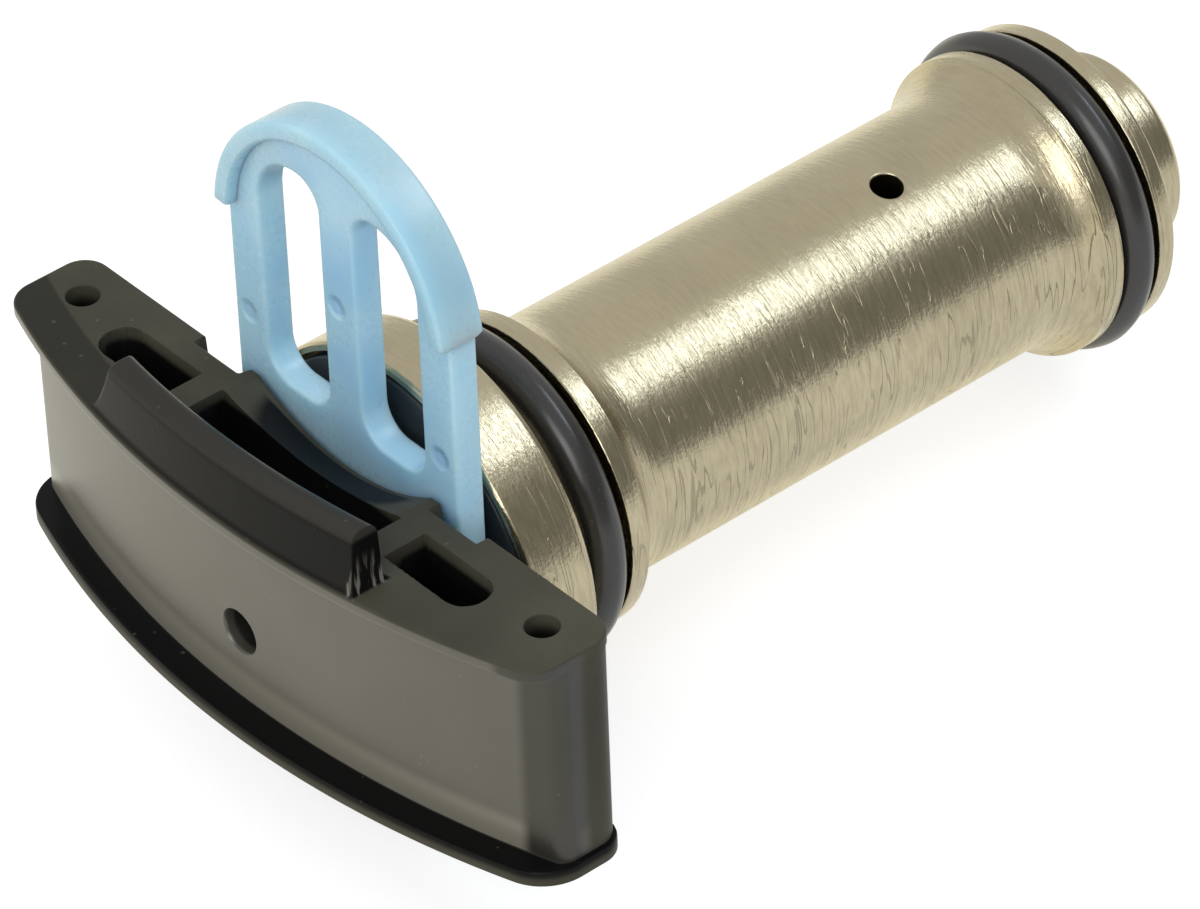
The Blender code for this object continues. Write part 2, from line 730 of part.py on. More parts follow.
def nose_socket():
    """Socket for the plunger's nose, with room for the snap ring, and its oil hole."""
    floor = shoe_back - socket_depth - seat_gap
    ring_y = snap_ring_y - shoe_y
    front = -guide_front - MM
    socket = spun([
        (0, front), (face_hole_radius, front), (face_hole_radius, floor),
        (socket_radius, floor), (socket_radius, ring_y - snap_groove_half),
        (snap_room_radius, ring_y - snap_groove_half),
        (snap_room_radius, ring_y + snap_groove_half),
        (socket_radius, ring_y + snap_groove_half), (socket_radius, shoe_back + MM),
        (0, shoe_back + MM)], turned_steps)
    # A part of a step of turn keeps the hole's edges off the edges of the bowed face.
    bmesh.ops.rotate(socket, verts=socket.verts,
                     matrix=Matrix.Rotation(pi / 3 / turned_steps, 3, "Y"))
    return socket


def build_shoe(plastic, group):
    """Moulded shoe: bowed wall between two guides, lip, saddle, pockets and nose socket."""
    shoe = place(object_from(shoe_body(), "shoe", plastic), shoe_y, group)
    join(shoe, "nose_socket_cutter", nose_socket(), "DIFFERENCE")
    join(shoe, "guide_lip_form", guide_lip(), "UNION")
    above = shoe_top + MM
    for side, word in ((-1, "left"), (1, "right")):
        pocket = prism([pocket_outline(side)], shoe_top - pocket_depth, above, "Z")
        join(shoe, f"{word}_pocket_cutter", pocket, "DIFFERENCE")
        x = side * pin_hole_at
        hole = cylinder(pin_hole_radius, (x, 0, -shoe_bottom - MM), (x, 0, above))
        join(shoe, f"{word}_pin_hole_cutter", hole, "DIFFERENCE")
        ends = sorted((side * notch_inner, side * notch_outer))
        join(shoe, f"{word}_notch_cutter", prism([notch_section()], *ends, "X"), "DIFFERENCE")
    valley_top = shoe_top + lip_back_fillet + seat_gap
    join(shoe, "valley_cutter", prism([valley_outline()], valley_floor, valley_top, "Z"),
         "DIFFERENCE")
    join(shoe, "saddle_cutter", saddle_scoop(), "DIFFERENCE")


def window_outline(inner, outer):
    """One clip window between two upright lines, its tall outer corner following the arch."""
    side = 1 if outer > inner else -1
    small = window_inner_corner
    large = window_outer_corner
    corners = (
        ((outer - side * small, window_bottom + small), small, -pi / 2, 0),
        ((outer - side * large, window_top - large), large, 0, pi / 2),
        ((inner + side * small, window_top - small), small, pi / 2, pi),
        ((inner + side * small, window_bottom + small), small, pi, 3 * pi / 2),
    )
    points = []
    for centre, radius, start, end in corners:
        turned_arc = arc((0, 0), radius, start, end, 5)
        points += [(centre[0] + side * x, centre[1] + z) for x, z in turned_arc]
    return points


def build_clip(plastic, group):
    """Transport clip: arch, two windows, a fork round the plunger and a proud rim."""
    fork_radius = plunger_radius + slide_gap
    fork_middle = -clip_side_shift
    fork_left = fork_middle - fork_radius
    fork_right = fork_middle + fork_radius
    half = clip_half_width
    tip = fork_tip_round
    # The plate's arch ends inside the rim, which stands proud of it front, rear and outside.
    arch_radius = rim_radius - rim_width / 2
    start = asin(rim_rise / rim_radius)
    lean = start + rim_width / rim_radius
    slot = arc((fork_middle, 0), fork_radius, pi, 0, 16)
    shoulder = clip_arch_height + rim_rise + rim_width / 4
    outline = [
        (half, shoulder),
        *arc((0, clip_arch_height), arch_radius, lean, pi - lean, 24),
        (-half, shoulder),
        *arc((-half + tip, -fork_bottom + tip), tip, pi, 3 * pi / 2, 3),
        (fork_left, -fork_bottom),
        *slot,
        (fork_right, -fork_bottom),
        *arc((half - tip, -fork_bottom + tip), tip, -pi / 2, 0, 3),
    ]
    bar = bar_width / 2
    windows = [window_outline(-bar, -half + leg_width), window_outline(bar, half - leg_width)]
    plate = prism([outline, *windows], 0, clip_thickness, "Y")
    clip = place(object_from(plate, "transport_clip", plastic), clip_y, group, clip_side_shift)
    outer = arc((0, clip_arch_height), rim_radius, start, pi - start, 24)
    inner = arc((0, clip_arch_height), rim_radius - rim_width, pi - start, start, 20)
    rim = prism([outer + inner], -rim_front, clip_thickness + rim_rear, "Y")
    join(clip, "rim_form", rim, "UNION")


def main():
    clear_scene()
    turned_steel = material("turned_steel", (0.36, 0.33, 0.27), 0.34, 1.0)
    bright_steel = material("bright_steel", (0.62, 0.61, 0.58), 0.22, 1.0)
    black_rubber = material("black_rubber", (0.012, 0.012, 0.013), 0.42, 0.0)
    black_plastic = material("black_plastic", (0.022, 0.021, 0.019), 0.36, 0.0)
    clip_plastic = material("blue_plastic", (0.36, 0.66, 0.86), 0.38, 0.0)
    filler_plastic = material("natural_plastic", (0.78, 0.74, 0.64), 0.5, 0.0)

    plunger_group = empty("plunger_axis", (0, plunger_front, 0))
    ball_group = empty("ball_axis", (0, valve_y, 0))
    clip_group = empty("clip_axis", (0, clip_y + clip_thickness / 2, 0))

    _, port_y, port_way = build_housing(turned_steel)
    build_seals(black_rubber, black_plastic)
    plug_front = build_plug(turned_steel, black_rubber)
    build_valve(turned_steel, bright_steel, black_rubber, ball_group, plug_front, port_y,
                port_way)
    build_plunger(turned_steel, bright_steel, filler_plastic, plunger_group)
    build_shoe(black_plastic, plunger_group)
    build_clip(clip_plastic, clip_group)


main()
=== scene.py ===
import bmesh
import bpy
import numpy as np
from mathutils import Matrix, Vector
from mathutils.geometry import tessellate_polygon


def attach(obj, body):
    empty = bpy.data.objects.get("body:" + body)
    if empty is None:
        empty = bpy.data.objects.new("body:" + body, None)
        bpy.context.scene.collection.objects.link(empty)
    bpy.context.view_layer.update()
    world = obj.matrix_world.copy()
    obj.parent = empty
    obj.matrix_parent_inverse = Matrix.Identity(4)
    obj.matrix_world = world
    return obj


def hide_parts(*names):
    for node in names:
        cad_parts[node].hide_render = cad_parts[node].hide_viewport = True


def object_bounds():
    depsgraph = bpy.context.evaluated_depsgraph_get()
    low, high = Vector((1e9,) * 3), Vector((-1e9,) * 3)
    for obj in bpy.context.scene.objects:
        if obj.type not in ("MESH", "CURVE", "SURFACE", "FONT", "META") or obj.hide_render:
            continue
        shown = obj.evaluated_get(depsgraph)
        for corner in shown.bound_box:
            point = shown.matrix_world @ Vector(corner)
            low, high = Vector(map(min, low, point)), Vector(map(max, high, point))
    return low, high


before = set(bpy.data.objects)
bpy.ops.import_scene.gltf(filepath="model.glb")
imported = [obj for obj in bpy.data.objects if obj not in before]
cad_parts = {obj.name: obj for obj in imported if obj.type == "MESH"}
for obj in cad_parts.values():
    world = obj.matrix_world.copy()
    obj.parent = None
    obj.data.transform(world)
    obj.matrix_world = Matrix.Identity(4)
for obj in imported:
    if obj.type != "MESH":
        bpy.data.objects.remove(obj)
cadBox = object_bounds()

mm = 0.001
rearEnd = 75.2                  # mm to the rear end face, in the measuring frame of the sizes below
seamGap = 2e-7                  # metres within which points of neighbouring parts are one
creaseAngle = 42                # degrees, past which an edge is drawn sharp
bpy.context.scene.view_settings.view_transform = "Standard"
print("frame loaded")

# mesh tools: every surface is a grid or loop of points worked out as whole arrays


def gridQuads(rows, cols, closed, start=0):
    # a quad between each point and its next row and next column, wrapping round when closed
    index = np.arange(rows * cols).reshape(rows, cols) + start
    if closed:
        index = np.hstack([index, index[:, :1]])
    return np.stack([index[:-1, :-1], index[:-1, 1:], index[1:, 1:], index[1:, :-1]], axis=-1)


def gridPart(points, closed=False, window=None):
    # points[row, column] as one part, leaving out the quads inside the windows (row, row, col, col)
    rows, cols = points.shape[:2]
    quads = gridQuads(rows, cols, closed)
    keep = np.ones(quads.shape[:2], bool)
    for top, bottom, left, right in window or []:
        keep[top:bottom, left:right] = False
    return points.reshape(-1, 3), quads[keep].tolist()


def loopIndex(top, bottom, left, right):
    # rows and columns of the points round a window, once round
    rows = np.r_[np.full(right - left, top), np.arange(top, bottom),
                 np.full(right - left, bottom), np.arange(bottom, top, -1)]
    cols = np.r_[np.arange(left, right), np.full(bottom - top, right),
                 np.arange(right, left, -1), np.full(bottom - top, left)]
    return rows, cols


def ringPatch(border, centre, radius, rings=8, spread=1.3):
    # flat coordinates between a circle and a border: each border point is pulled towards the
    # centre until it stands one radius away, in steps that grow outwards by the spread's power
    away = border - centre
    circle = centre + radius * away / np.linalg.norm(away, axis=1, keepdims=True)
    share = np.linspace(0, 1, rings + 1)[:, None, None] ** spread
    return circle * (1 - share) + border * share


def capPart(loops, lift):
    # flat fill of an outline and its holes, each loop being (points, 2); lift makes 3-D points
    flat = [[Vector((a, b, 0)) for a, b in loop] for loop in loops]
    return lift(np.vstack(loops)), [list(t) for t in tessellate_polygon(flat)]


def roundLoop(points, cuts, steps=5, mostCut=0.49):
    # each corner is cut back by its own length, at most nearly half a side, and bridged by a
    # quadratic curve: (1-s)^2 * start + 2s(1-s) * corner + s^2 * end
    points = np.asarray(points, float)
    cuts = np.broadcast_to(np.asarray(cuts, float), len(points))[:, None]
    before = np.roll(points, 1, axis=0) - points
    after = np.roll(points, -1, axis=0) - points
    lengthBefore = np.linalg.norm(before, axis=1, keepdims=True)
    lengthAfter = np.linalg.norm(after, axis=1, keepdims=True)
    start = points + before / lengthBefore * np.minimum(cuts, lengthBefore * mostCut)
    end = points + after / lengthAfter * np.minimum(cuts, lengthAfter * mostCut)
    s = np.linspace(0, 1, steps + 1)[None, :, None]
    curve = (1 - s) ** 2 * start[:, None] + 2 * s * (1 - s) * points[:, None] \
        + s ** 2 * end[:, None]
    return curve.reshape(-1, points.shape[1])


def arcPoints(centre, radius, start, end, steps):
    # centre plus radius times (cosine, sine) of an angle that runs from start to end
    angle = np.linspace(np.radians(start), np.radians(end), steps + 1)
    return np.stack([centre[0] + radius * np.cos(angle), centre[1] + radius * np.sin(angle)], -1)


def aboutAxis(angle, radius, along):
    # places at an angle about Y: radius * sine, distance, radius * cosine
    return np.stack(np.broadcast_arrays(radius * np.sin(angle), along, radius * np.cos(angle)), -1)


def spinPoints(profile, steps):
    # each (radius, distance) of the profile carried once round the axis
    return aboutAxis(np.arange(steps) / steps * 2 * np.pi, profile[:, :1], profile[:, 1:])


def quarterRound(size, steps=5):
    # a quarter circle in even turns: size * (1 - sine) and size * (1 - cosine)
    turn = np.linspace(0, np.pi / 2, steps + 1)
    return list(zip(size * (1 - np.sin(turn)), size * (1 - np.cos(turn))))


def matchOrder(angle, otherAngle):
    # for each point the index of the other loop's point that has the same rank by its angle
    order = np.empty(len(angle), int)
    order[np.argsort(angle)] = np.argsort(otherAngle)
    return order


def buildPiece(name, parts, material, shift=0.0):
    # joins the parts, takes them from the measuring frame to the object's own, merges their
    # shared edges and turns the faces outward
    points = []
    faces = []
    count = 0
    for partPoints, partFaces in parts:
        points.append(partPoints)
        faces += [[i + count for i in face] for face in partFaces]
        count += len(partPoints)
    mesh = bpy.data.meshes.new(name)
    mesh.from_pydata((np.vstack(points) + np.array([shift, -rearEnd, 0])) * mm, [], faces)
    bm = bmesh.new()
    bm.from_mesh(mesh)
    bmesh.ops.remove_doubles(bm, verts=bm.verts, dist=seamGap)
    bmesh.ops.dissolve_degenerate(bm, edges=bm.edges, dist=seamGap / 2)
    bmesh.ops.recalc_face_normals(bm, faces=bm.faces)
    bm.to_mesh(mesh)
    openEdges = sum(1 for edge in bm.edges if len(edge.link_faces) != 2)
    bm.free()
    mesh.shade_smooth()
    mesh.set_sharp_from_angle(angle=np.radians(creaseAngle))
    mesh.materials.append(material)
    piece = bpy.data.objects.new(name, mesh)
    bpy.context.collection.objects.link(piece)
    print(f"{name}: {len(mesh.polygons)} faces, {openEdges} open edges")
    return piece


def spinPiece(name, profile, material, steps):
    # a closed profile turned about the axis
    rows = spinPoints(np.vstack([profile, profile[:1]]), steps)
    return buildPiece(name, [gridPart(rows, True)], material)


def turnedPiece(name, outline, material, steps=224):
    # a closed outline of (radius, distance, corner cut) with its corners rounded, then turned
    outline = np.array(outline, float)
    return spinPiece(name, roundLoop(outline[:, :2], outline[:, 2]), material, steps)


def dress(piece, body, node):
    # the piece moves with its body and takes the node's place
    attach(piece, body)
    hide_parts(node)


# shader tools


class Wire:
    # a socket that can be added, multiplied and so on
    def __init__(self, tree, socket):
        self.tree = tree
        self.socket = socket

    def math(self, operation, *values):
        node = self.tree.nodes.new("ShaderNodeMath")
        node.operation = operation
        for slot, value in zip(node.inputs, values):
            feed(self.tree, slot, value)
        return Wire(self.tree, node.outputs[0])

    def __add__(self, other):
        return self.math("ADD", self, other)

    def __radd__(self, other):
        return self.math("ADD", other, self)

    def __sub__(self, other):
        return self.math("SUBTRACT", self, other)

    def __rsub__(self, other):
        return self.math("SUBTRACT", other, self)

    def __mul__(self, other):
        return self.math("MULTIPLY", self, other)

    def __pow__(self, other):
        return self.math("POWER", self, other)


def feed(tree, slot, value):
    # links a wire to a socket, or sets the socket's own value; a colour gets full alpha
    if isinstance(value, Wire):
        tree.links.new(value.socket, slot)
    elif hasattr(slot.default_value, "__len__") and len(slot.default_value) == 4:
        slot.default_value = (*value[:3], 1.0)
    else:
        slot.default_value = value


class Nodes:
    # a node tree, the coordinates that its patterns read, and one way to add any node
    def __init__(self, tree, coordinates):
        self.tree = tree
        self.place = self.node("ShaderNodeTexCoord", {}, {}, coordinates)

    def node(self, kind, settings, values, output=0):
        made = self.tree.nodes.new(kind)
        for word, value in settings.items():
            setattr(made, word, value)
        for key, value in values.items():
            feed(self.tree, made.inputs[key], value)
        return Wire(self.tree, made.outputs[output])

    def rayIs(self, kind):
        return self.node("ShaderNodeLightPath", {}, {}, f"Is {kind} Ray")

    def stretched(self, x, y, z):
        # the place on the piece, in cycles per metre along each direction
        return self.node("ShaderNodeMapping", {}, {"Vector": self.place, "Scale": (x, y, z)})

    def noise(self, place, scale=1.0, detail=3.0, rough=0.55):
        return self.node("ShaderNodeTexNoise", {"noise_dimensions": "3D"},
                         {"Vector": place, "Scale": scale, "Detail": detail, "Roughness": rough})

    def spots(self, place, scale=1.0):
        return self.node("ShaderNodeTexVoronoi", {"feature": "F1"},
                         {"Vector": place, "Scale": scale}, "Distance")

    def ramp(self, value, low, high):
        # 0 below low, 1 above high, smooth between
        return self.node("ShaderNodeMapRange", {"interpolation_type": "SMOOTHSTEP", "clamp": True},
                         {"Value": value, "From Min": low, "From Max": high})

    def blend(self, factor, first, second):
        return self.node("ShaderNodeMix", {"data_type": "RGBA"},
                         {0: factor, 6: first, 7: second}, 2)

    def parts(self):
        return [self.node("ShaderNodeSeparateXYZ", {}, {"Vector": self.place}, axis)
                for axis in "XYZ"]

    def bump(self, height, strength, distance, under=None):
        values = {"Height": height, "Strength": strength, "Distance": distance}
        if under:
            values["Normal"] = under
        return self.node("ShaderNodeBump", {}, values)


class Finish(Nodes):
    # one material, whose shader's sockets are painted by name
    def __init__(self, name, **constants):
        self.material = bpy.data.materials.new(name)
        self.material.use_nodes = True
        super().__init__(self.material.node_tree, "Object")
        self.shader = self.tree.nodes["Principled BSDF"]
        for word, value in constants.items():
            self.paint(word, value)

    def paint(self, word, value):
        feed(self.tree, self.shader.inputs[socketNames[word]], value)


socketNames = {"colour": "Base Color", "roughness": "Roughness", "metallic": "Metallic",
               "normal": "Normal", "coat": "Coat Weight", "coatRoughness": "Coat Roughness",
               "coatIor": "Coat IOR", "glow": "Emission Color",
               "glowStrength": "Emission Strength",
               "ior": "IOR", "specular": "Specular IOR Level", "soft": "Subsurface Weight",
               "softReach": "Subsurface Radius", "softScale": "Subsurface Scale"}

# steel: turned outside, ground where pieces slide; each pair of places, in metres, is where a
# mark starts and where it is full

steelLook = {"colour": (0.55, 0.485, 0.325), "stain": (0.40, 0.35, 0.23), "roughness": 0.22,
             "scratch": 1.0, "marks": 0.7, "line": (0.19, 0.17, 0.12), "lineTone": 0.45,
             "lineWidth": (0.016, 0.004), "lowerSide": (0.004, -0.006),
             "fromFlange": (-0.0600, -0.0540), "fromRearFaces": (-0.0055, -0.0070)}
groundLook = {**steelLook, "roughness": 0.2, "scratch": 0.15, "lineTone": 0.2}


def turnedSteel(name, look):
    # streaks run round the Y axis, because the pattern is squeezed along Y and long across it,
    # and the scratches are thin bands where a slow wave passes through its middle level
    finish = Finish(name, metallic=1.0)
    x, y, z = finish.parts()
    fine = finish.noise(finish.stretched(230, 5200, 230), detail=4, rough=0.6)
    short = finish.noise(finish.stretched(520, 2600, 520), detail=3, rough=0.65)
    wave = finish.noise(finish.stretched(100, 1250, 100), detail=1, rough=0.4) - 0.5
    grain = finish.noise(finish.place, scale=3800, detail=2)
    cloud = finish.noise(finish.place, scale=110, detail=4)
    patchy = finish.ramp(finish.noise(finish.place, scale=260, detail=2), 0.34, 0.56)
    lower = finish.ramp(z - x, *look["lowerSide"])
    lines = finish.ramp(wave.math("ABSOLUTE", wave), *look["lineWidth"]) * patchy \
        * (0.15 + lower * 0.85) * (0.4 + finish.ramp(y, *look["fromFlange"]) * 0.6) \
        * finish.ramp(y, *look["fromRearFaces"])
    tone = finish.ramp(cloud, 0.35, 0.75) * 0.3 + finish.ramp(short, 0.36, 0.68) \
        * (0.2 + lower * 0.35)
    clean = finish.blend(tone, look["colour"], look["stain"])
    finish.paint("colour", finish.blend(lines * look["lineTone"], clean, look["line"]))
    finish.paint("roughness", look["roughness"] + (fine - 0.5) * 0.16 + (cloud - 0.5) * 0.14
                 + lines * 0.12)
    height = fine * 0.35 + short * 0.6 - lines * look["marks"] + grain * 0.15
    finish.paint("normal", finish.bump(height, look["scratch"], 0.00008))
    return finish.material


steel = turnedSteel("turnedSteelFinish", steelLook)
smoothSteel = turnedSteel("groundSteelFinish", groundLook)

# housing: turned in one piece, with a round oil hole through its tube; sizes in millimetres

housingLook = {"steps": 288, "tube": 10.0, "flange": 15.1, "flangeAt": (7.4, 12.6),
               "frontBevel": 0.25, "rearBevel": 0.5, "recess": 14.4, "recessFloor": 8.7,
               "frontGroove": 9.7, "frontLand": 12.1, "frontLandAt": (18.2, 19.7),
               "frontFilletAt": (19.78, 23.2), "rearFilletAt": (60.2, 63.62), "filletEase": 0.12,
               "sealLand": 11.8, "sealLandAt": (63.7, 65.1), "rearGroove": 9.65,
               "rearLand": 11.9, "rearLandAt": (68.5, 70.0), "valveBore": 8.6,
               "valveBoreFloor": 44.2, "springBore": 8.0, "springBoreFloor": 21.55,
               "plungerBore": 7.3, "holeRadius": 1.2, "holeAngle": 13.0, "holeAt": 50.9,
               "holeMouth": 0.14, "windowHalf": 2.2, "windowRows": 22, "windowReach": 16,
               "frontRows": 60, "boreRows": 8}


def filletCurve(low, high, tubeEnd, landEnd, steps=14):
    # a circle that leaves the tube along its side and climbs to the land
    rise = high - low
    run = abs(landEnd - tubeEnd)
    radius = (run * run + rise * rise) / (2 * rise)
    angle = np.linspace(0, np.arcsin(run / radius), steps + 1)
    along = tubeEnd + np.sign(landEnd - tubeEnd) * radius * np.sin(angle)
    return np.stack([low + radius * (1 - np.cos(angle)), along], -1)


def pastHole(look, start, end, rows):
    # distances from start to end, with a denser row of them across the oil hole's window
    way = np.sign(end - start)
    hole = look["holeAt"]
    half = look["windowHalf"] * way
    margin = (look["windowHalf"] + 0.2) * way
    return np.r_[np.linspace(start, hole - margin, rows[0]),
                 np.linspace(hole - half, hole + half, look["windowRows"] + 1),
                 np.linspace(hole + margin, end, rows[1])]


def housingProfile(look):
    # radius and distance round the whole wall: outside front to rear, then the bore to the front;
    # the ends of the two rounded stretches only give their corners a direction, and are left out
    tube = look["tube"]
    flange = look["flange"]
    flangeFront, flangeRear = look["flangeAt"]
    land = look["frontLand"]
    landStart, landEnd = look["frontLandAt"]
    bevel = look["frontBevel"]
    front = roundLoop([(flange - bevel, flangeFront), (flange, flangeFront + bevel),
                       (flange, flangeRear - look["rearBevel"]), (flange - 0.13, flangeRear - 0.15),
                       (flange - 0.3, flangeRear), (look["frontGroove"], flangeRear),
                       (look["frontGroove"], landStart), (land, landStart), (land, landEnd),
                       (land - 0.7, landEnd + 0.2)],
                      [0.1, 0.12, 0.05, 0.05, 0.1, 0.25, 0.25, 0.18, 0.2, 0])[:-12]
    landEdge, tubeStart = look["frontFilletAt"]
    frontFillet = filletCurve(tube, land - look["filletEase"], tubeStart, landEdge)[::-1]
    tubeEnd, sealEdge = look["rearFilletAt"]
    along = pastHole(look, tubeStart + 0.3, tubeEnd - 0.3, (look["frontRows"], 20))
    barrel = np.stack([np.full(len(along), tube), along], -1)
    seal = look["sealLand"]
    sealStart, sealEnd = look["sealLandAt"]
    rearFillet = filletCurve(tube, seal - look["filletEase"], tubeEnd, sealEdge)
    rearStart, rearFace = look["rearLandAt"]
    bore = look["valveBore"]
    rear = roundLoop([(seal - 0.6, sealStart - 0.2), (seal, sealStart), (seal, sealEnd),
                      (look["rearGroove"], sealEnd), (look["rearGroove"], rearStart),
                      (look["rearLand"], rearStart), (look["rearLand"], rearFace),
                      (bore, rearFace), (bore, rearFace - 5.4)],
                     [0, 0.2, 0.16, 0.25, 0.25, 0.16, 0.3, 0.2, 0])[6:-6]
    floor = look["valveBoreFloor"]
    along = pastHole(look, rearFace - 6.0, floor + 0.2, (look["boreRows"], look["boreRows"]))
    valveBore = np.stack([np.full(len(along), bore), along], -1)
    boreFront = np.array([(bore, floor), (look["springBore"], floor),
                          (look["springBore"], look["springBoreFloor"]),
                          (look["plungerBore"], look["springBoreFloor"]),
                          (look["plungerBore"], look["recessFloor"]),
                          (look["recess"], look["recessFloor"]),
                          (look["recess"], flangeFront + 0.15),
                          (look["recess"] + 0.1, flangeFront + 0.02)])
    profile = np.vstack([front, frontFillet, barrel, rearFillet, rear, valveBore, boreFront])
    start = len(front) + len(frontFillet)
    outerRow = start + look["frontRows"]
    innerRow = start + len(barrel) + len(rearFillet) + len(rear) + look["boreRows"]
    return profile, outerRow, innerRow


def buildHousing(look):
    # the wall is a grid of rings; round the oil hole a window is left and filled by a patch that
    # blends a circle into the window's border, outside and inside, and a tube joins the two
    profile, outerRow, innerRow = housingProfile(look)
    steps = look["steps"]
    shift = steps // 2                              # keeps the window away from the grid's seam
    points = np.roll(spinPoints(profile, steps), shift, axis=1)
    middle = int(round(look["holeAngle"] / 360 * steps)) + shift
    columns = (middle - look["windowReach"], middle + look["windowReach"])
    windows = [(row, row + look["windowRows"], *columns) for row in (outerRow, innerRow)]
    parts = [gridPart(np.concatenate([points, points[:1]]), True, windows)]
    centre = np.array([0, look["holeAt"]])
    centreAngle = np.radians(look["holeAngle"])
    holeRadius = look["holeRadius"]
    mouth = look["holeMouth"]
    tube = look["tube"]
    bore = look["valveBore"]
    rims = []
    # flat coordinates are the way round from the hole's middle and the distance along
    for window, radius, rimRadius in ((windows[0], tube, holeRadius + mouth),
                                      (windows[1], bore, holeRadius)):
        rows, cols = loopIndex(*window)
        angle = (cols - shift) / steps * 2 * np.pi
        border = np.stack([(angle - centreAngle) * radius, profile[rows, 1]], -1)
        patch = ringPatch(border, centre, rimRadius)
        parts.append(gridPart(aboutAxis(centreAngle + patch[..., 0] / radius, radius,
                                        patch[..., 1]), True))
        rims.append(patch[0])
    # the inner rim's points come in the other order, so they are matched by their angle
    outerRim, innerRim = rims
    matched = innerRim[matchOrder(np.arctan2(*(outerRim - centre).T),
                                  np.arctan2(*(innerRim - centre).T))]
    depth = np.array([0, 0.05, 0.10, 0.16, 0.5, 1.0, tube - bore])[:, None]
    flare = 1 + mouth / holeRadius * np.clip(1 - depth / mouth, 0, 1) ** 2
    unit = (outerRim - centre) / (holeRadius + mouth)
    flat = unit[None] * flare[..., None] * holeRadius
    radius = tube - depth
    wall = aboutAxis(centreAngle + flat[..., 0] / radius, radius, flat[..., 1] + look["holeAt"])
    wall[-1] = aboutAxis(centreAngle + matched[:, 0] / bore, bore, matched[:, 1])
    parts.append(gridPart(wall, True))
    return buildPiece("housingSteel", parts, steel)


dress(buildHousing(housingLook), "cylinder", "housing")

# rear plug: shoulder, neck groove and boss outside, grooved spigot inside

plugLook = {"axis": 0.001, "cup": 5.0, "cupFloor": 66.5, "spigot": 8.3, "spigotStart": 64.5,
            "groove": 6.9, "grooveAt": (66.4, 68.1), "shoulder": 9.4, "shoulderAt": (70.3, 71.6),
            "neck": 6.8, "neckEnd": 72.6, "boss": 7.7, "bossBevel": 0.6}


def buildPlug(look):
    # the cup in the spigot, the spigot and its groove, the shoulder, the neck and the boss
    cup = look["cup"]
    spigot = look["spigot"]
    groove = look["groove"]
    grooveStart, grooveEnd = look["grooveAt"]
    shoulder = look["shoulder"]
    shoulderStart, shoulderEnd = look["shoulderAt"]
    neck = look["neck"]
    boss = look["boss"]
    bevel = look["bossBevel"]
    outline = [(look["axis"], look["cupFloor"], 0), (cup, look["cupFloor"], 0.2),
               (cup, look["spigotStart"], 0.2), (spigot, look["spigotStart"], 0.2),
               (spigot, grooveStart, 0.1), (groove, grooveStart, 0.1), (groove, grooveEnd, 0.1),
               (spigot, grooveEnd, 0.1), (spigot, shoulderStart, 0.1),
               (shoulder, shoulderStart, 0.2), (shoulder, shoulderEnd, 0.28),
               (neck, shoulderEnd, 0.2), (neck, look["neckEnd"], 0.2),
               (boss, look["neckEnd"], 0.18), (boss, rearEnd - bevel, 0.22),
               (boss - bevel, rearEnd, 0.22), (look["axis"], rearEnd, 0)]
    return turnedPiece("rearPlugSteel", outline, steel)


dress(buildPlug(plugLook), "cylinder", "rear_plug")

# O-rings: round section with a fine moulding line round the outside

rubberLook = {"colour": (0.028, 0.026, 0.024), "dust": (0.13, 0.12, 0.10), "roughness": 0.27}
ringLook = {"steps": 256, "sides": 40, "line": 0.035, "lineWidth": 0.09}
sealRings = {"front_o_ring": {"name": "frontSealRubber", "outer": 13.0, "section": 1.5, "at": 16.2},
             "rear_o_ring": {"name": "rearSealRubber", "outer": 12.55, "section": 1.3, "at": 66.8}}


def blackRubber(name, look):
    finish = Finish(name, ior=1.6)
    mottle = finish.noise(finish.place, scale=420, detail=5)
    dust = finish.ramp(finish.noise(finish.place, scale=2600, detail=2), 0.66, 0.76)
    drag = finish.noise(finish.stretched(160, 1800, 160), detail=3)
    finish.paint("colour", finish.blend(dust * 0.30, look["colour"], look["dust"]))
    finish.paint("roughness", look["roughness"] + (mottle - 0.5) * 0.22 + dust * 0.2)
    finish.paint("normal", finish.bump(mottle * 0.6 + drag * 0.4, 0.16, 0.00005))
    return finish.material


rubber = blackRubber("sealRubberFinish", rubberLook)


def buildRing(ring, look):
    # section circle whose radius grows a little in a narrow band where the mould halves meet
    side = np.arange(look["sides"]) / look["sides"] * 2 * np.pi
    fromLine = np.mod(side + np.pi, 2 * np.pi) - np.pi
    swell = ring["section"] + look["line"] * np.exp(-(fromLine / look["lineWidth"]) ** 2)
    reach = ring["outer"] - ring["section"] - look["line"]
    profile = np.stack([reach + swell * np.cos(side), ring["at"] + swell * np.sin(side)], -1)
    return spinPiece(ring["name"], profile, rubber, look["steps"])


for node, ring in sealRings.items():
    dress(buildRing(ring, ringLook), "cylinder", node)

# plain finishes of the washer and of the pieces inside


def plainGrain(name, colour, second, roughness, metallic, scale=900):
    # two close tones and a fine grain, for the pieces inside
    finish = Finish(name, metallic=metallic)
    cloud = finish.noise(finish.place, scale=scale * 0.3, detail=4)
    grain = finish.noise(finish.stretched(scale, scale * 4, scale), detail=3)
    finish.paint("colour", finish.blend(finish.ramp(cloud, 0.35, 0.7), colour, second))
    finish.paint("roughness", roughness + (grain - 0.5) * 0.16)
    finish.paint("normal", finish.bump(grain, 0.12, 0.00004))
    return finish.material


# painted reflection and shade: the washer's near-black tones are tinted teal as a painted
# reflection of the blue clip, and their darkness also stands in for the shade behind the shoe
paintedShadeWasherFinish = plainGrain("paintedShadeWasherFinish", (0.020, 0.027, 0.030), (0.034, 0.042, 0.045), 0.42, 0.0)
brightFinish = plainGrain("brightSteelFinish", (0.62, 0.61, 0.58), (0.50, 0.49, 0.46), 0.22, 1.0)
naturalFinish = plainGrain("naturalMouldingFinish", (0.74, 0.70, 0.60), (0.66, 0.61, 0.50),
                           0.45, 0.0)

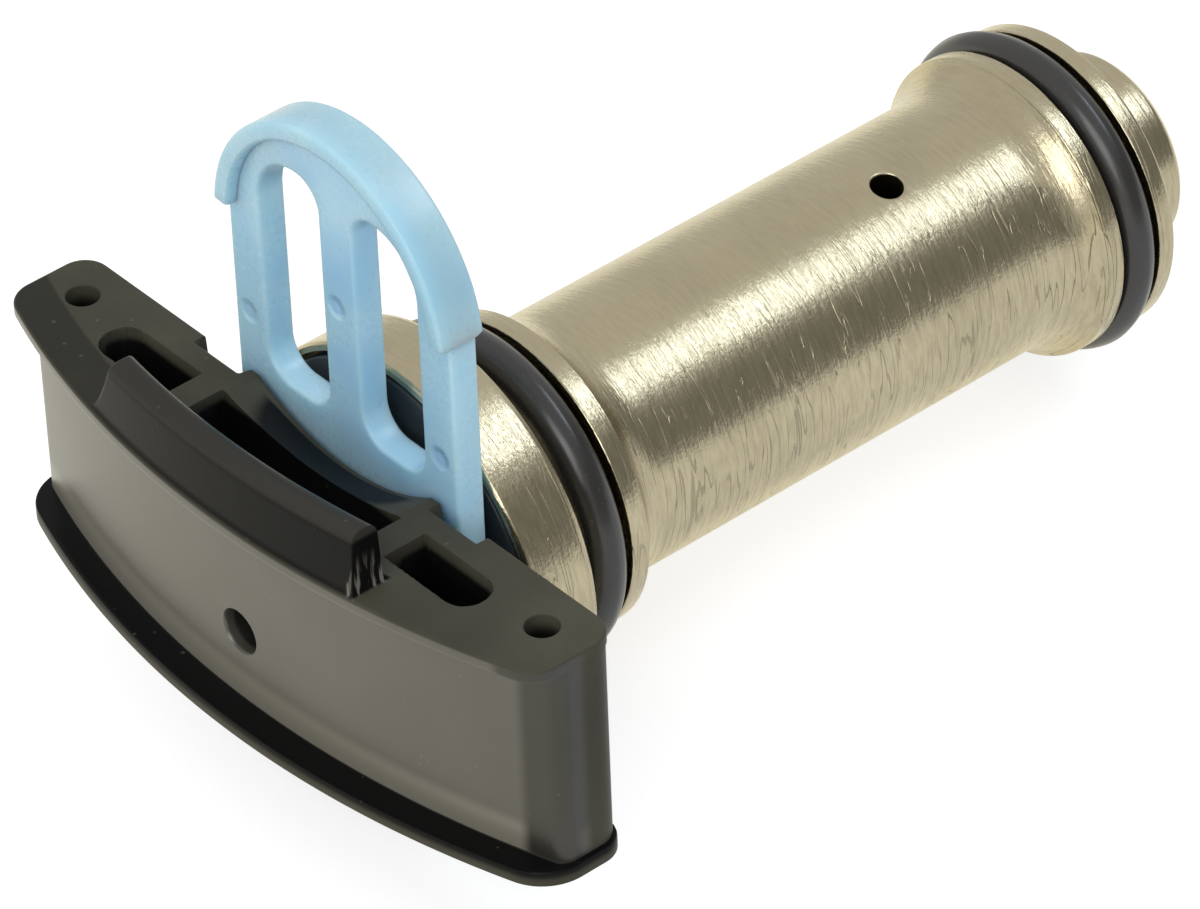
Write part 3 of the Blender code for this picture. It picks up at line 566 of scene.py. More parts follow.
# washer in the flange's front recess

washerLook = {"inner": 7.3, "outer": 14.1, "front": 7.4, "rear": 8.4}


def buildWasher(look):
    # a flat ring with its outer front corner rounded most
    inner = look["inner"]
    outer = look["outer"]
    outline = [(inner, look["front"], 0.1), (outer, look["front"], 0.22),
               (outer, look["rear"], 0.1), (inner, look["rear"], 0.1)]
    return turnedPiece("frontWasherMoulding", outline, paintedShadeWasherFinish)


dress(buildWasher(washerLook), "cylinder", "front_washer")

# plunger: hollow, with a nose for the shoe

plungerLook = {"radius": 7.0, "front": 3.7, "rear": 39.8, "stopGroove": 6.35,
               "stopGrooveAt": (37.05, 38.55), "nose": 4.5, "noseTip": -3.2, "snapGroove": 3.95,
               "snapGrooveAt": (-1.9, -0.5), "passage": 1.2, "discPocket": 2.9, "discAt": 3.6,
               "bore": 5.2, "boreFloor": 5.5}


def buildPlunger(look):
    # the nose with its ring groove, the outside with its ring groove, then the bore to the front
    radius = look["radius"]
    nose = look["nose"]
    snap = look["snapGroove"]
    snapStart, snapEnd = look["snapGrooveAt"]
    stop = look["stopGroove"]
    stopStart, stopEnd = look["stopGrooveAt"]
    outline = [(look["passage"], look["noseTip"], 0.1), (nose, look["noseTip"], 0.3),
               (nose, snapStart, 0.1), (snap, snapStart, 0.1), (snap, snapEnd, 0.1),
               (nose, snapEnd, 0.1), (nose, look["front"], 0.15), (radius, look["front"], 0.3),
               (radius, stopStart, 0.15), (stop, stopStart, 0.1), (stop, stopEnd, 0.1),
               (radius, stopEnd, 0.15), (radius, look["rear"], 0.3),
               (look["bore"], look["rear"], 0.2), (look["bore"], look["boreFloor"], 0.2),
               (look["discPocket"], look["boreFloor"], 0.1),
               (look["discPocket"], look["discAt"], 0.1), (look["passage"], look["discAt"], 0.1)]
    return turnedPiece("plungerSteel", outline, smoothSteel)


dress(buildPlunger(plungerLook), "plunger_and_shoe", "plunger")
print("turned pieces built")

# shoe: one moulding, drawn as a height over its plan, a skirt round it and a flat base

shoeShape = {"half": 28.2, "baseHalf": 28.5, "backCorner": 2.0, "plateCorner": 2.4,
             "wallCorner": 1.5, "baseCorner": 4.0, "wallInset": 0.1, "bow": 81.0,
             "faceBow": 85.0, "front": 8.75, "face": 6.6, "back": 3.4, "top": 11.63,
             "plate": 1.0, "base": -7.2, "baseThick": 1.3, "edge": 0.22, "endAt": 23.5,
             "pinAt": 24.45, "pinRadius": 1.22, "pinMouth": 0.12, "pinWindow": (2.15, 1.62),
             "faceHole": 1.65, "faceMouth": 0.14, "holeShoulder": -3.8, "holeWindow": 6.0,
             "wallRows": 22, "socket": 4.8, "socketMouth": 0.15, "socketEdge": 2.95,
             "ringGroove": 5.35, "ringGrooveAt": (-1.9, -0.5), "plateFillet": 0.2,
             "footFillet": 0.08}
lipShape = {"height": 5.0, "frontFoot": 0.05, "frontCrest": 0.40, "backCrest": 2.60,
            "round": 0.9, "fillet": 0.8, "left": -14.4, "leftCrest": -11.6, "right": 13.7}
hollowShape = {"valleyHalf": 9.4, "valleyBack": 0.3, "valleyDepth": 4.23, "pocketIn": 12.0,
               "pocketOut": 19.8, "pocketFront": -2.9, "pocketBack": 0.4, "pocketDepth": 7.0,
               "saddleHalf": 9.2, "saddleFront": 1.3, "saddleBack": 2.7, "notchIn": 10.2,
               "notchOut": 15.0, "notchWide": 1.1, "notchDrop": 1.6}
shoeLook = {"colour": (0.060, 0.057, 0.042), "worn": (0.092, 0.087, 0.062),
            # painted light: the pale foot tone lifts the running face near its foot, cancelling the
            # shade the ledge casts there
            "face": (0.056, 0.052, 0.040), "foot": (0.20, 0.187, 0.150),
            # painted shade: the near-black tone colours the guide lip, the ledge and the hollows
            # for the shade they sit in
            "end": (0.026, 0.025, 0.020), "paintedShade": (0.006, 0.006, 0.006),
            # painted highlight: the crest tone lights the lip's top; the pale fleck tone is painted
            # glints at its right end
            "crest": (0.044, 0.041, 0.034), "paintedGlint": (0.34, 0.31, 0.27),
            "dust": (0.18, 0.165, 0.13), "roughness": 0.38, "coatRoughness": 0.33, "coatIor": 1.8,
            "lipFoot": (0.01150, 0.01175), "lipFront": (0.0834, 0.0838), "lipEnd": (0.0141, 0.0139),
            "lipCrest": (0.0157, 0.0162), "paintedGlintSide": (0.0131, 0.0135),
            "paintedGlintTop": (0.0150, 0.0125), "ledgeTop": (-0.00570, -0.00590),
            "ledgeUnder": (-0.00690, -0.00600), "valleySide": (0.0102, 0.0098),
            "valleyFront": (-0.0812, -0.0808), "pocketSide": (0.0215, 0.0205),
            "pocketFront": (-0.0790, -0.0786), "pinSide": (0.0262, 0.0257),
            "pinFront": (-0.0770, -0.0767), "hollowTop": (0.0113, 0.0098),
            "hollowBack": (-0.0722, -0.0726), "faceTop": (0.01155, 0.01130),
            "faceFoot": (-0.00590, -0.00570), "faceBack": (-0.0745, -0.0760),
            "footTop": (-0.0028, -0.0042), "faceEnd": (0.0246, 0.0257)}


def mouldedBlack(name, look, shape=shoeShape):
    # the running face has a polished skin with faint lengthwise rub marks, painted light towards
    # its foot that cancels the shade the ledge casts there, and is duller past its right end; the
    # rest is dull, with painted shade on the guide lip's front, on the ledge and in the hollows, a
    # painted highlight on the lip's crest and painted glints at its right end; each pair of places,
    # in metres, is where a zone starts and where it is full, and the lip's front follows a circle
    # about the face's own centre
    finish = Finish(name, ior=1.18, coatIor=look["coatIor"],
                    coatRoughness=look["coatRoughness"])
    x, y, z = finish.parts()

    def zone(value, word):
        return finish.ramp(value, *look[word])

    away = x.math("ABSOLUTE", x)
    behind = y - (shape["faceBow"] - shape["face"] - rearEnd) * mm
    bowRadius = (x * x + behind * behind) ** 0.5
    lip = zone(z, "lipFoot") * zone(bowRadius, "lipFront") * zone(x, "lipEnd")
    ledge = zone(z, "ledgeTop") * zone(z, "ledgeUnder")
    valley = zone(away, "valleySide") * zone(y, "valleyFront")
    pockets = zone(away, "pocketSide") * zone(y, "pocketFront")
    pinHoles = zone(away, "pinSide") * zone(y, "pinFront")
    hollow = (valley + pockets + pinHoles) * zone(z, "hollowTop") * zone(y, "hollowBack")
    # painted shade: the guide lip, the ledge and, a little less, the hollows are coloured near
    # black
    paintedShade = finish.ramp(lip + ledge + hollow * 0.8, 0.0, 1.0)
    face = zone(z, "faceTop") * zone(z, "faceFoot") * zone(y, "faceBack")
    # painted light: the face grows lighter towards its foot, against the shade the ledge casts
    # there
    foot = face * zone(z, "footTop")
    end = face * zone(x, "faceEnd")
    flow = finish.noise(finish.place, scale=95, detail=4)
    pores = finish.noise(finish.place, scale=2400, detail=3)
    rub = finish.noise(finish.stretched(240, 240, 3600), detail=3)
    streaks = finish.noise(finish.stretched(2400, 2400, 300), detail=2)
    dust = finish.ramp(finish.spots(finish.place, scale=700), 0.13, 0.07) \
        * finish.ramp(finish.noise(finish.place, scale=300, detail=2), 0.5, 0.62)
    # painted glints: pale streaky flecks on the lip's right end stand in for the bright flashes
    # there
    paintedGlint = lip * zone(x, "paintedGlintSide") * zone(z, "paintedGlintTop") * finish.ramp(streaks, 0.50, 0.66)
    colour = look["colour"]
    # the crest tone is a painted highlight that lifts the lip's top out of its painted shade
    for share, word in ((finish.ramp(flow, 0.35, 0.72) * 0.7, "worn"), (face, "face"),
                        (foot, "foot"), (end, "end"), (paintedShade, "paintedShade"),
                        (lip * zone(z, "lipCrest"), "crest"), (paintedGlint * 0.6, "paintedGlint"),
                        (dust * 0.3, "dust")):
        colour = finish.blend(share, colour, look[word])
    finish.paint("colour", colour)
    finish.paint("coat", face * (1 - end * 0.45) * (0.85 + (flow - 0.5) * 0.4))
    finish.paint("roughness", look["roughness"] + (flow - 0.5) * 0.16 + (pores - 0.5) * 0.08
                 + dust * 0.2 - (lip + ledge) * 0.14)
    height = pores * (1 - face * 0.7) * 0.5 + rub * face * 0.35 + flow * 0.5
    finish.paint("normal", finish.bump(height, 0.20, 0.00005))
    return finish.material


shoeFinish = mouldedBlack("shoeMouldingFinish", shoeLook)


def smooth(value, low, high):
    # 0 below low and 1 above high, with a cubic between
    share = np.clip((value - low) / (high - low), 0, 1)
    return share * share * (3 - 2 * share)


def softMin(a, b, width):
    # the smaller of two heights, rounded where they cross
    share = np.clip(0.5 + (b - a) / (2 * width), 0, 1)
    return b * (1 - share) + a * share - width * share * (1 - share)


def planEdges(x, depth, bow, half, corner, inset, shape=shoeShape):
    # front and back of the plan at x: a circle of the bow's radius, a straight back, and
    # corner circles that meet both and the straight end
    away = np.abs(x)
    inner = half - corner
    cornerY = bow - depth - np.sqrt((bow - corner) ** 2 - inner ** 2)
    tangent = (bow - inset) * inner / (bow - corner)
    rise = np.sqrt(np.clip((corner - inset) ** 2 - np.clip(away - inner, 0, None) ** 2, 0, None))
    front = np.where(away > tangent, cornerY - rise,
                     bow - depth - np.sqrt((bow - inset) ** 2 - np.minimum(away, tangent) ** 2))
    r = shape["backCorner"]
    fall = np.sqrt(np.clip((r - inset) ** 2 - np.clip(away - half + r, 0, None) ** 2, 0, None))
    back = np.where(away > half - r, shape["back"] - r + fall, shape["back"] - inset)
    return front, back


def planX(column, half, inset, shape=shoeShape):
    # columns keep their x up to where the ends start and close in on the rounded end by a sine
    start = shape["endAt"]
    share = np.clip((np.abs(column) - start) / (shape["half"] - start), 0, 1)
    stretched = start + (half - inset - start) * np.sin(share * np.pi / 2)
    return np.where(np.abs(column) > start, np.sign(column) * stretched, column)


def denseSteps(low, high, pitch, spots, samples=20001):
    # places between low and high, closer together near each spot (place, pitch there, width)
    fine = np.linspace(low, high, samples)
    density = np.full_like(fine, 1 / pitch)
    for place, small, width in spots:
        density = density + (1 / small - 1 / pitch) * np.exp(-((fine - place) / width) ** 2)
    total = np.r_[0, np.cumsum((density[1:] + density[:-1]) / 2 * np.diff(fine))]
    count = int(np.ceil(total[-1]))
    return np.interp(np.linspace(0, total[-1], count + 1), total, fine)


def lipHeight(d, x, lip):
    # a leaning front, a crest with round edges, an upright back and a hollow fillet at its foot,
    # cut at the left by a hollow ramp and at the right by an upright end
    h = lip["height"]
    r = lip["round"]
    rise = np.clip((d - lip["frontFoot"]) / (lip["frontCrest"] - lip["frontFoot"]), 0, 1)
    front = (h - r) * rise
    frontRound = h - r + np.sqrt(np.clip(r * r - (lip["frontCrest"] + r - d) ** 2, 0, None))
    backRound = h - r + np.sqrt(np.clip(r * r - (d - lip["backCrest"] + r) ** 2, 0, None))
    lean = 0.1                                      # how far the upright back runs out
    fall = np.clip((d - lip["backCrest"]) / lean, 0, 1)
    back = (h - r) + (lip["fillet"] - (h - r)) * fall
    foot = lip["backCrest"] + lean + lip["fillet"]
    fillet = lip["fillet"] - np.sqrt(np.clip(lip["fillet"] ** 2 - np.clip(foot - d, 0, None) ** 2,
                                             0, None))
    section = np.select([d < lip["frontCrest"], d < lip["frontCrest"] + r,
                         d < lip["backCrest"] - r, d < lip["backCrest"],
                         d < lip["backCrest"] + lean, d < foot],
                        [front, frontRound, np.full_like(d, h), backRound, back, fillet], 0)
    share = np.clip((x - lip["left"]) / (lip["leftCrest"] - lip["left"]), 0, None)
    ramp = h * share ** 1.6
    end = np.clip((lip["right"] + 0.12 - x) / 0.24, 0, None) * (h + 1)
    return np.maximum(softMin(softMin(section, ramp, 0.25), end, 0.25), 0)


def topHeight(x, y, d, shape=shoeShape, lip=lipShape, hollow=hollowShape):
    # the flat top, plus the lip, less the valley, pockets, saddle and rear notches
    away = np.abs(x)
    lipRise = lipHeight(d, x, lip)
    drop = smooth(d, lip["backCrest"] - 0.02, lip["backCrest"] + 0.16)
    valleyFloor = -hollow["valleyDepth"]
    valley = (1 - smooth(away, hollow["valleyHalf"] - 0.1, hollow["valleyHalf"] + 0.14)) \
        * (1 - smooth(y, hollow["valleyBack"] - 0.1, hollow["valleyBack"] + 0.16)) * drop
    rise = lipRise * (1 - valley) + valleyFloor * valley
    # pocket: distance outside a bar with a square inner end and a round outer end
    r = (hollow["pocketBack"] - hollow["pocketFront"]) / 2
    centre = (hollow["pocketBack"] + hollow["pocketFront"]) / 2
    outEnd = hollow["pocketOut"] - r
    roundEnd = np.hypot(np.clip(away - outEnd, 0, None), y - centre) - r
    square = np.maximum(hollow["pocketIn"] - away, np.abs(y - centre) - r)
    outside = np.where(away > outEnd, roundEnd, square)
    rise = rise - hollow["pocketDepth"] * (1 - smooth(outside, -0.14, 0.12))
    # saddle: a circle's arc over the ridge, deeper towards the back
    share = np.clip((y - hollow["valleyBack"]) / (shape["back"] - hollow["valleyBack"]), 0, 1)
    dip = hollow["saddleFront"] + (hollow["saddleBack"] - hollow["saddleFront"]) * share
    half = hollow["saddleHalf"]
    arcRadius = (half * half + dip * dip) / (2 * dip)
    inside = np.clip(arcRadius ** 2 - np.minimum(away, half) ** 2, 0, None)
    saddle = arcRadius - dip - np.sqrt(inside)
    ridge = smooth(y, hollow["valleyBack"] - 0.1, hollow["valleyBack"] + 0.16)
    rise = rise + np.where(away < half, saddle, 0) * ridge
    # notches: a bevel along the rear edge between two upright ends
    bevel = np.clip((y - (shape["back"] - hollow["notchWide"])) / hollow["notchWide"], 0, 1)
    across = smooth(away, hollow["notchIn"] - 0.1, hollow["notchIn"] + 0.1) \
        * (1 - smooth(away, hollow["notchOut"] - 0.08, hollow["notchOut"] + 0.08))
    return shape["top"] + rise - hollow["notchDrop"] * bevel * across


def shoeGrid(shape, lip, hollow=hollowShape):
    # columns across the shoe and rows from its front edge to its back, closer together where
    # the height changes fast
    spots = [(side * hollow[word], 0.055, 0.3) for side in (-1, 1)
             for word in ("valleyHalf", "pocketIn", "notchOut", "pocketOut")]
    spots += [(lip["right"], 0.04, 0.3), (lip["left"], 0.08, 0.4),
              (lip["leftCrest"] - 0.1, 0.1, 0.5)]
    columns = denseSteps(-shape["half"], shape["half"], 0.26, spots)
    edge = shape["edge"]
    nearFront = denseSteps(0, 3.2, 0.16, [(0.22, 0.028, 0.2), (0.65, 0.07, 0.25),
                                          (2.5, 0.06, 0.3), (2.68, 0.018, 0.09)])
    rear = denseSteps(-0.4, shape["back"] - edge, 0.2, [(0.36, 0.05, 0.25), (2.4, 0.1, 0.3)])
    x = planX(columns, shape["half"], edge)
    bow = shape["bow"]
    front, back = planEdges(x, shape["front"], bow, shape["half"], shape["plateCorner"], edge)
    plainFront = bow - shape["front"] - np.sqrt((bow - edge) ** 2 - x ** 2)
    plainBack = shape["back"] - edge
    joinY = plainFront + nearFront[-1]
    between = np.linspace(0, 1, 48)[1:-1]
    rows = np.concatenate([
        plainFront[:, None] + nearFront[None, :],
        joinY[:, None] + (rear[0] - joinY)[:, None] * between[None, :],
        np.broadcast_to(rear[None, :], (len(x), len(rear)))], axis=1)
    share = (rows - plainFront[:, None]) / (plainBack - plainFront)[:, None]
    share = np.maximum.accumulate(share, axis=1)
    y = front[:, None] + (back - front)[:, None] * share
    return columns, share, np.broadcast_to(x[:, None], y.shape), y, rows - plainFront[:, None]


def loopOf(columns, share, depth, bow, half, corner, inset):
    # the plan's outline at one level, in the order front, right end, back, left end
    x = planX(columns, half, inset)
    front, back = planEdges(x, depth, bow, half, corner, inset)
    right = front[-1] + (back[-1] - front[-1]) * share[-1]
    left = front[0] + (back[0] - front[0]) * share[0]
    outline = [np.stack([x, front], -1)[:-1],
               np.stack([np.full(len(right), x[-1]), right], -1)[:-1],
               np.stack([x, back], -1)[::-1][:-1],
               np.stack([np.full(len(left), x[0]), left], -1)[::-1][:-1]]
    return np.vstack(outline)


def gridLoop(values):
    # a grid's border values in that same order
    return np.concatenate([values[:-1, 0], values[-1, :-1], values[::-1, -1][:-1],
                           values[0, ::-1][:-1]])


def pinHole(side, columns, x, y, shape):
    # a window of the top's grid round the hole, a patch that fills it up to a circle, and rings
    # of that circle's points down to the base, the first ones rounding the mouth
    middle = np.array([side * shape["pinAt"], 0.0])
    across, along = shape["pinWindow"]
    near = np.where(np.abs(columns - middle[0]) < across)[0]
    line = y[near[len(near) // 2]]
    window = (near[0], near[-1], int(np.where(line > -along)[0][0]),
              int(np.where(line < along)[0][-1]))
    i, j = loopIndex(*window)
    mouth = shape["pinMouth"]
    patch = ringPatch(np.stack([x[i, j], y[i, j]], -1), middle, shape["pinRadius"] + mouth)
    level = np.full((*patch.shape[:2], 1), shape["top"])
    unit = (patch[0] - middle) / (shape["pinRadius"] + mouth)
    out, down = np.transpose(quarterRound(mouth, 4))
    radii = shape["pinRadius"] + np.r_[out, 0, 0, 0]
    levels = np.r_[shape["top"] - down, 6.0, -2.0, shape["base"]]
    tube = np.concatenate([middle + unit[None] * radii[:, None, None],
                           np.broadcast_to(levels[:, None, None], (len(radii), len(unit), 1))], -1)
    return window, gridPart(np.concatenate([patch, level], -1), True), tube


def skirtLevels(shape, plans):
    # (plan, height) of each ring from the plate's rounded edge to the base's: plate edge, its
    # underside, fillet, running face wall, fillet, ledge and base edge
    plate, wall, base = plans
    edge = quarterRound(shape["edge"])
    depth = shape["front"]
    under = shape["top"] - shape["plate"]
    ledge = shape["base"] + shape["baseThick"]
    levels = [(depth, *plate, inset, shape["top"] - down) for inset, down in edge]
    levels += [(depth, *plate, 0.0, under + 0.3), (depth, *plate, 0.0, under + 0.14),
               (depth - 0.04, *plate, 0.0, under + 0.04), (depth - 0.14, *plate, 0.0, under),
               (depth - 0.35, *plate, 0.0, under)]
    wallDepth = shape["face"] + shape["wallInset"]
    levels += [(wallDepth + out, *wall, under - down)
               for out, down in quarterRound(shape["plateFillet"])]
    first = len(levels) + 6
    heights = np.r_[np.linspace(9.6, 6.2, 6), np.linspace(5.7, -5.0, shape["wallRows"] + 1)]
    levels += [(wallDepth, *wall, height) for height in heights]
    levels += [(wallDepth + out, *wall, ledge + up)
               for up, out in quarterRound(shape["footFillet"])]
    levels += [(depth - 0.3, *base, 0.05, ledge), (depth - 0.09, *base, 0.05, ledge),
               (depth, *base, 0.04, ledge - 0.04), (depth, *base, 0.0, ledge - 0.14)]
    levels += [(depth, *base, inset, shape["base"] + up) for up, inset in edge]
    return levels, first


def noseSocket(shape, rims):
    # rings of the face hole's own points, from its rim through the shoulder, the socket and its
    # ring groove to the rim at the back
    (frontRim, frontY), (backRim, backY) = rims
    angle = np.arctan2(frontRim[:, 1], frontRim[:, 0])
    matched = backRim[matchOrder(angle, np.arctan2(backRim[:, 1], backRim[:, 0]))]
    hole = shape["faceHole"]
    socket = shape["socket"]
    shoulder = shape["holeShoulder"]
    grooveStart, grooveEnd = shape["ringGrooveAt"]
    steps = [(hole + 0.06, shoulder - 2.7), (hole, shoulder - 2.5), (hole, shoulder),
             (socket, shoulder), (socket, grooveStart), (shape["ringGroove"], grooveStart),
             (shape["ringGroove"], grooveEnd), (socket, grooveEnd), (socket, shape["socketEdge"])]
    rows = [np.column_stack([frontRim[:, 0], frontY, frontRim[:, 1]])]
    rows += [np.column_stack([radius * np.cos(angle), np.full(len(angle), at),
                              radius * np.sin(angle)]) for radius, at in steps]
    rows.append(np.column_stack([matched[:, 0], backY, matched[:, 1]]))
    return gridPart(np.stack(rows), True)


def buildShoe(shape, lip):
    # the top with its pin holes, the skirt round it with the two holes of the nose, and the base
    columns, share, x, y, d = shoeGrid(shape, lip)
    z = topHeight(x, y, d)
    windows, patches, tubes = zip(*(pinHole(side, columns, x, y, shape) for side in (-1, 1)))
    parts = [gridPart(np.stack([x, y, z], -1), False, windows), *patches]
    parts += [gridPart(tube, True) for tube in tubes]
    wall = (shape["faceBow"], shape["half"], shape["wallCorner"], shape["wallInset"])
    levels, first = skirtLevels(shape, ((shape["bow"], shape["half"], shape["plateCorner"]), wall,
                                        (shape["bow"], shape["baseHalf"], shape["baseCorner"])))
    # the top's own edge heights hold every ring of the skirt under them
    topLoop = gridLoop(z)
    skirt = []
    for k, (*plan, level) in enumerate(levels):
        height = np.minimum(level, topLoop + (levels[min(k, 5)][-1] - shape["top"])
                            - 0.002 * max(k - 5, 0))
        skirt.append(np.column_stack([loopOf(columns, share, *plan), height]))
    skirt = np.stack(skirt)
    # windows of the skirt: the oil hole in the running face and the nose socket behind
    last = first + shape["wallRows"]
    count = len(columns)
    near = np.where(np.abs(columns) < shape["holeWindow"])[0]
    backEnd = 2 * (count - 1) + x.shape[1] - 1
    holeWindows = [(first, last, near[0], near[-1]),
                   (first, last, backEnd - near[-1], backEnd - near[0])]
    parts.append(gridPart(skirt, True, holeWindows))
    rims = []
    for window, radius in zip(holeWindows, (shape["faceHole"] + shape["faceMouth"],
                                            shape["socket"] + shape["socketMouth"])):
        i, j = loopIndex(*window)
        patch = ringPatch(skirt[i, j][:, [0, 2]], np.array([0.0, 0.0]), radius, 10)
        if rims:
            at = np.full(patch.shape[:2], shape["back"] - shape["wallInset"])
        else:
            at = planEdges(patch[..., 0], shape["face"] + shape["wallInset"], *wall)[0]
        parts.append(gridPart(np.stack([patch[..., 0], at, patch[..., 1]], -1), True))
        rims.append((patch[0], at[0]))
    parts.append(noseSocket(shape, rims))
    # flat base
    loops = [skirt[-1][:, :2]] + [tube[-1][:, :2] for tube in tubes]
    parts.append(capPart(loops, lambda flat: np.column_stack(
        [flat, np.full(len(flat), shape["base"])])))
    return buildPiece("shoeMoulding", parts, shoeFinish)


dress(buildShoe(shoeShape, lipShape), "plunger_and_shoe", "shoe")
print("shoe built")

# transport clip: plate with two windows and a fork, and a proud rim round its arch

clipShape = {"shift": -0.35, "front": 3.9, "thick": 2.3, "half": 11.65, "archAt": 24.0,
             "rimOut": 12.05, "rimIn": 10.65, "rimFront": 2.9, "rimBack": 6.6, "rimEnd": 4.8,
             "rimCorner": 0.34, "rimTaper": 0.82, "archInset": 0.7, "archEnd": 12,
             "bar": 1.8, "leg": 3.4, "low": 11.9, "high": 30.8, "windowCorner": 2.2,
             "windowArch": 4.2, "fork": 7.3, "tip": -4.5, "tipOut": 1.3, "tipIn": 0.8,
             "edge": 0.28, "capInset": 0.12}
clipLook = {"colour": (0.50, 0.775, 0.97), "deep": (0.32, 0.61, 0.90), "roughness": 0.28,
            "pins": ((-0.0105, 0.0160), (-0.0007, 0.0217), (0.0096, 0.0148)),
            "pinEdge": (0.00105, 0.00045)}


def blueMoulding(name, look):
    # round ejector marks are discs of equal distance from points on the front, in metres
    finish = Finish(name, ior=1.49, soft=0.6, softReach=(0.5, 0.8, 1.0), softScale=0.003)
    x, y, z = finish.parts()
    cloud = finish.noise(finish.place, scale=130, detail=2)
    skinGrain = finish.noise(finish.place, scale=1500, detail=2)
    marks = 0
    for pinX, pinZ in look["pins"]:
        away = ((x - pinX) ** 2.0 + (z - pinZ) ** 2.0) ** 0.5
        marks = finish.ramp(away, *look["pinEdge"]) + marks
    finish.paint("colour", finish.blend(finish.ramp(cloud, 0.3, 0.75) * 0.6 + marks * 0.25,
                                        look["colour"], look["deep"]))
    finish.paint("roughness", look["roughness"] + (cloud - 0.5) * 0.14 + (skinGrain - 0.5) * 0.1)
    first = finish.bump(skinGrain * 0.25 + cloud * 2.0, 0.14, 0.00006)
    finish.paint("normal", finish.bump(1 - marks, 0.55, 0.0004, first))
    return finish.material


clipFinish = blueMoulding("clipMouldingFinish", clipLook)


def windowLoop(side, shape):
    # straight sides, small corner arcs and one tall outer arc that follows the clip's arch
    inner = shape["bar"]
    outer = shape["half"] - shape["leg"]
    small = shape["windowCorner"]
    large = shape["windowArch"]
    loop = np.vstack([
        arcPoints((outer - small, shape["low"] + small), small, -90, 0, 12),
        arcPoints((outer - large, shape["high"] - large), large, 0, 90, 18),
        arcPoints((inner + small, shape["high"] - small), small, 90, 180, 12),
        arcPoints((inner + small, shape["low"] + small), small, 180, 270, 12)])
    loop = loop * np.array([side, 1])
    return loop if side > 0 else loop[::-1]


def loopNormals(loop):
    # unit normals to the right of the way round, from the neighbours of each point
    along = np.roll(loop, -1, axis=0) - np.roll(loop, 1, axis=0)
    along = along / np.maximum(np.linalg.norm(along, axis=1, keepdims=True), 1e-9)
    return np.stack([along[:, 1], -along[:, 0]], -1)


def tidyLoop(loop):
    # drops points that repeat the one before
    step = np.linalg.norm(loop - np.roll(loop, 1, axis=0), axis=1)
    return loop[step > 1e-4]


def clipOutline(shape):
    # the arch, the left leg, the fork's half circle round the plunger and the right leg
    half = shape["half"]
    middle = -shape["shift"]
    fork = shape["fork"]
    shoulder = shape["archAt"] + 1.6
    top = shape["archAt"] + 1.2
    cuts = [0, shape["tipOut"], shape["tipIn"], 0]
    arch = arcPoints((0, shape["archAt"]), shape["rimOut"] - shape["archInset"],
                     shape["archEnd"], 180 - shape["archEnd"], 60)
    left = roundLoop([(-half, shoulder), (-half, shape["tip"]), (middle - fork, shape["tip"]),
                      (middle - fork, 0.0)], cuts)[6:-6]
    slot = arcPoints((middle, 0), fork, 180, 0, 48)
    right = roundLoop([(middle + fork, 0.0), (middle + fork, shape["tip"]), (half, shape["tip"]),
                       (half, shoulder)], cuts[::-1])[6:-6]
    return tidyLoop(np.vstack([[(half, top)], arch, [(-half, top)], left, slot, right]))


def clipPlate(shape):
    # each loop drawn in by an inset at each depth, which rounds the edges, and two flat caps
    thick = shape["thick"]
    edge = quarterRound(shape["edge"])
    flat = shape["edge"] + shape["capInset"]
    levels = [(flat, 0.0), *edge, *((inset, thick - up) for up, inset in edge), (flat, thick)]
    parts = []
    caps = {0: [], -1: []}
    for loop, sign in ((clipOutline(shape), -1), (tidyLoop(windowLoop(-1, shape)), 1),
                       (tidyLoop(windowLoop(1, shape)), 1)):
        normal = loopNormals(loop) * sign
        rows = np.stack([np.column_stack([loop[:, 0] + normal[:, 0] * inset,
                                          np.full(len(loop), shape["front"] + depth),
                                          loop[:, 1] + normal[:, 1] * inset])
                         for inset, depth in levels])
        parts.append(gridPart(rows, True))
        for end in caps:
            caps[end].append(rows[end][:, [0, 2]])
    for end, at in ((0, shape["front"]), (-1, shape["front"] + thick)):
        parts.append(capPart(caps[end], lambda flat, at=at: np.column_stack(
            [flat[:, 0], np.full(len(flat), at), flat[:, 1]])))
    return parts


def clipRim(shape):
    # a rounded bar carried along the arch, drawn in a little and closed at both ends
    outer = shape["rimOut"]
    inner = shape["rimIn"]
    section = roundLoop([(outer, shape["rimFront"]), (outer, shape["rimBack"]),
                         (inner, shape["rimBack"]), (inner, shape["rimFront"])],
                        shape["rimCorner"])
    end = shape["rimEnd"]
    turn = np.radians(np.r_[end, np.linspace(end + 1.2, 178.8 - end, 90), 180 - end])
    shrink = np.r_[shape["rimTaper"], np.ones(90), shape["rimTaper"]]
    centre = np.array([(outer + inner) / 2, (shape["rimFront"] + shape["rimBack"]) / 2])
    bar = centre + (section - centre)[None] * shrink[:, None, None]
    rows = np.stack([bar[..., 0] * np.cos(turn)[:, None], bar[..., 1],
                     shape["archAt"] + bar[..., 0] * np.sin(turn)[:, None]], -1)
    caps = [(rows[row], [list(range(len(section)))]) for row in (0, -1)]
    return [gridPart(rows, True), *caps]


piece = buildPiece("transportClipMoulding", clipPlate(clipShape) + clipRim(clipShape), clipFinish,
                   clipShape["shift"])
dress(piece, "clip", "transport_clip")
print("clip built")

# the pieces inside keep their own shape and get their finishes

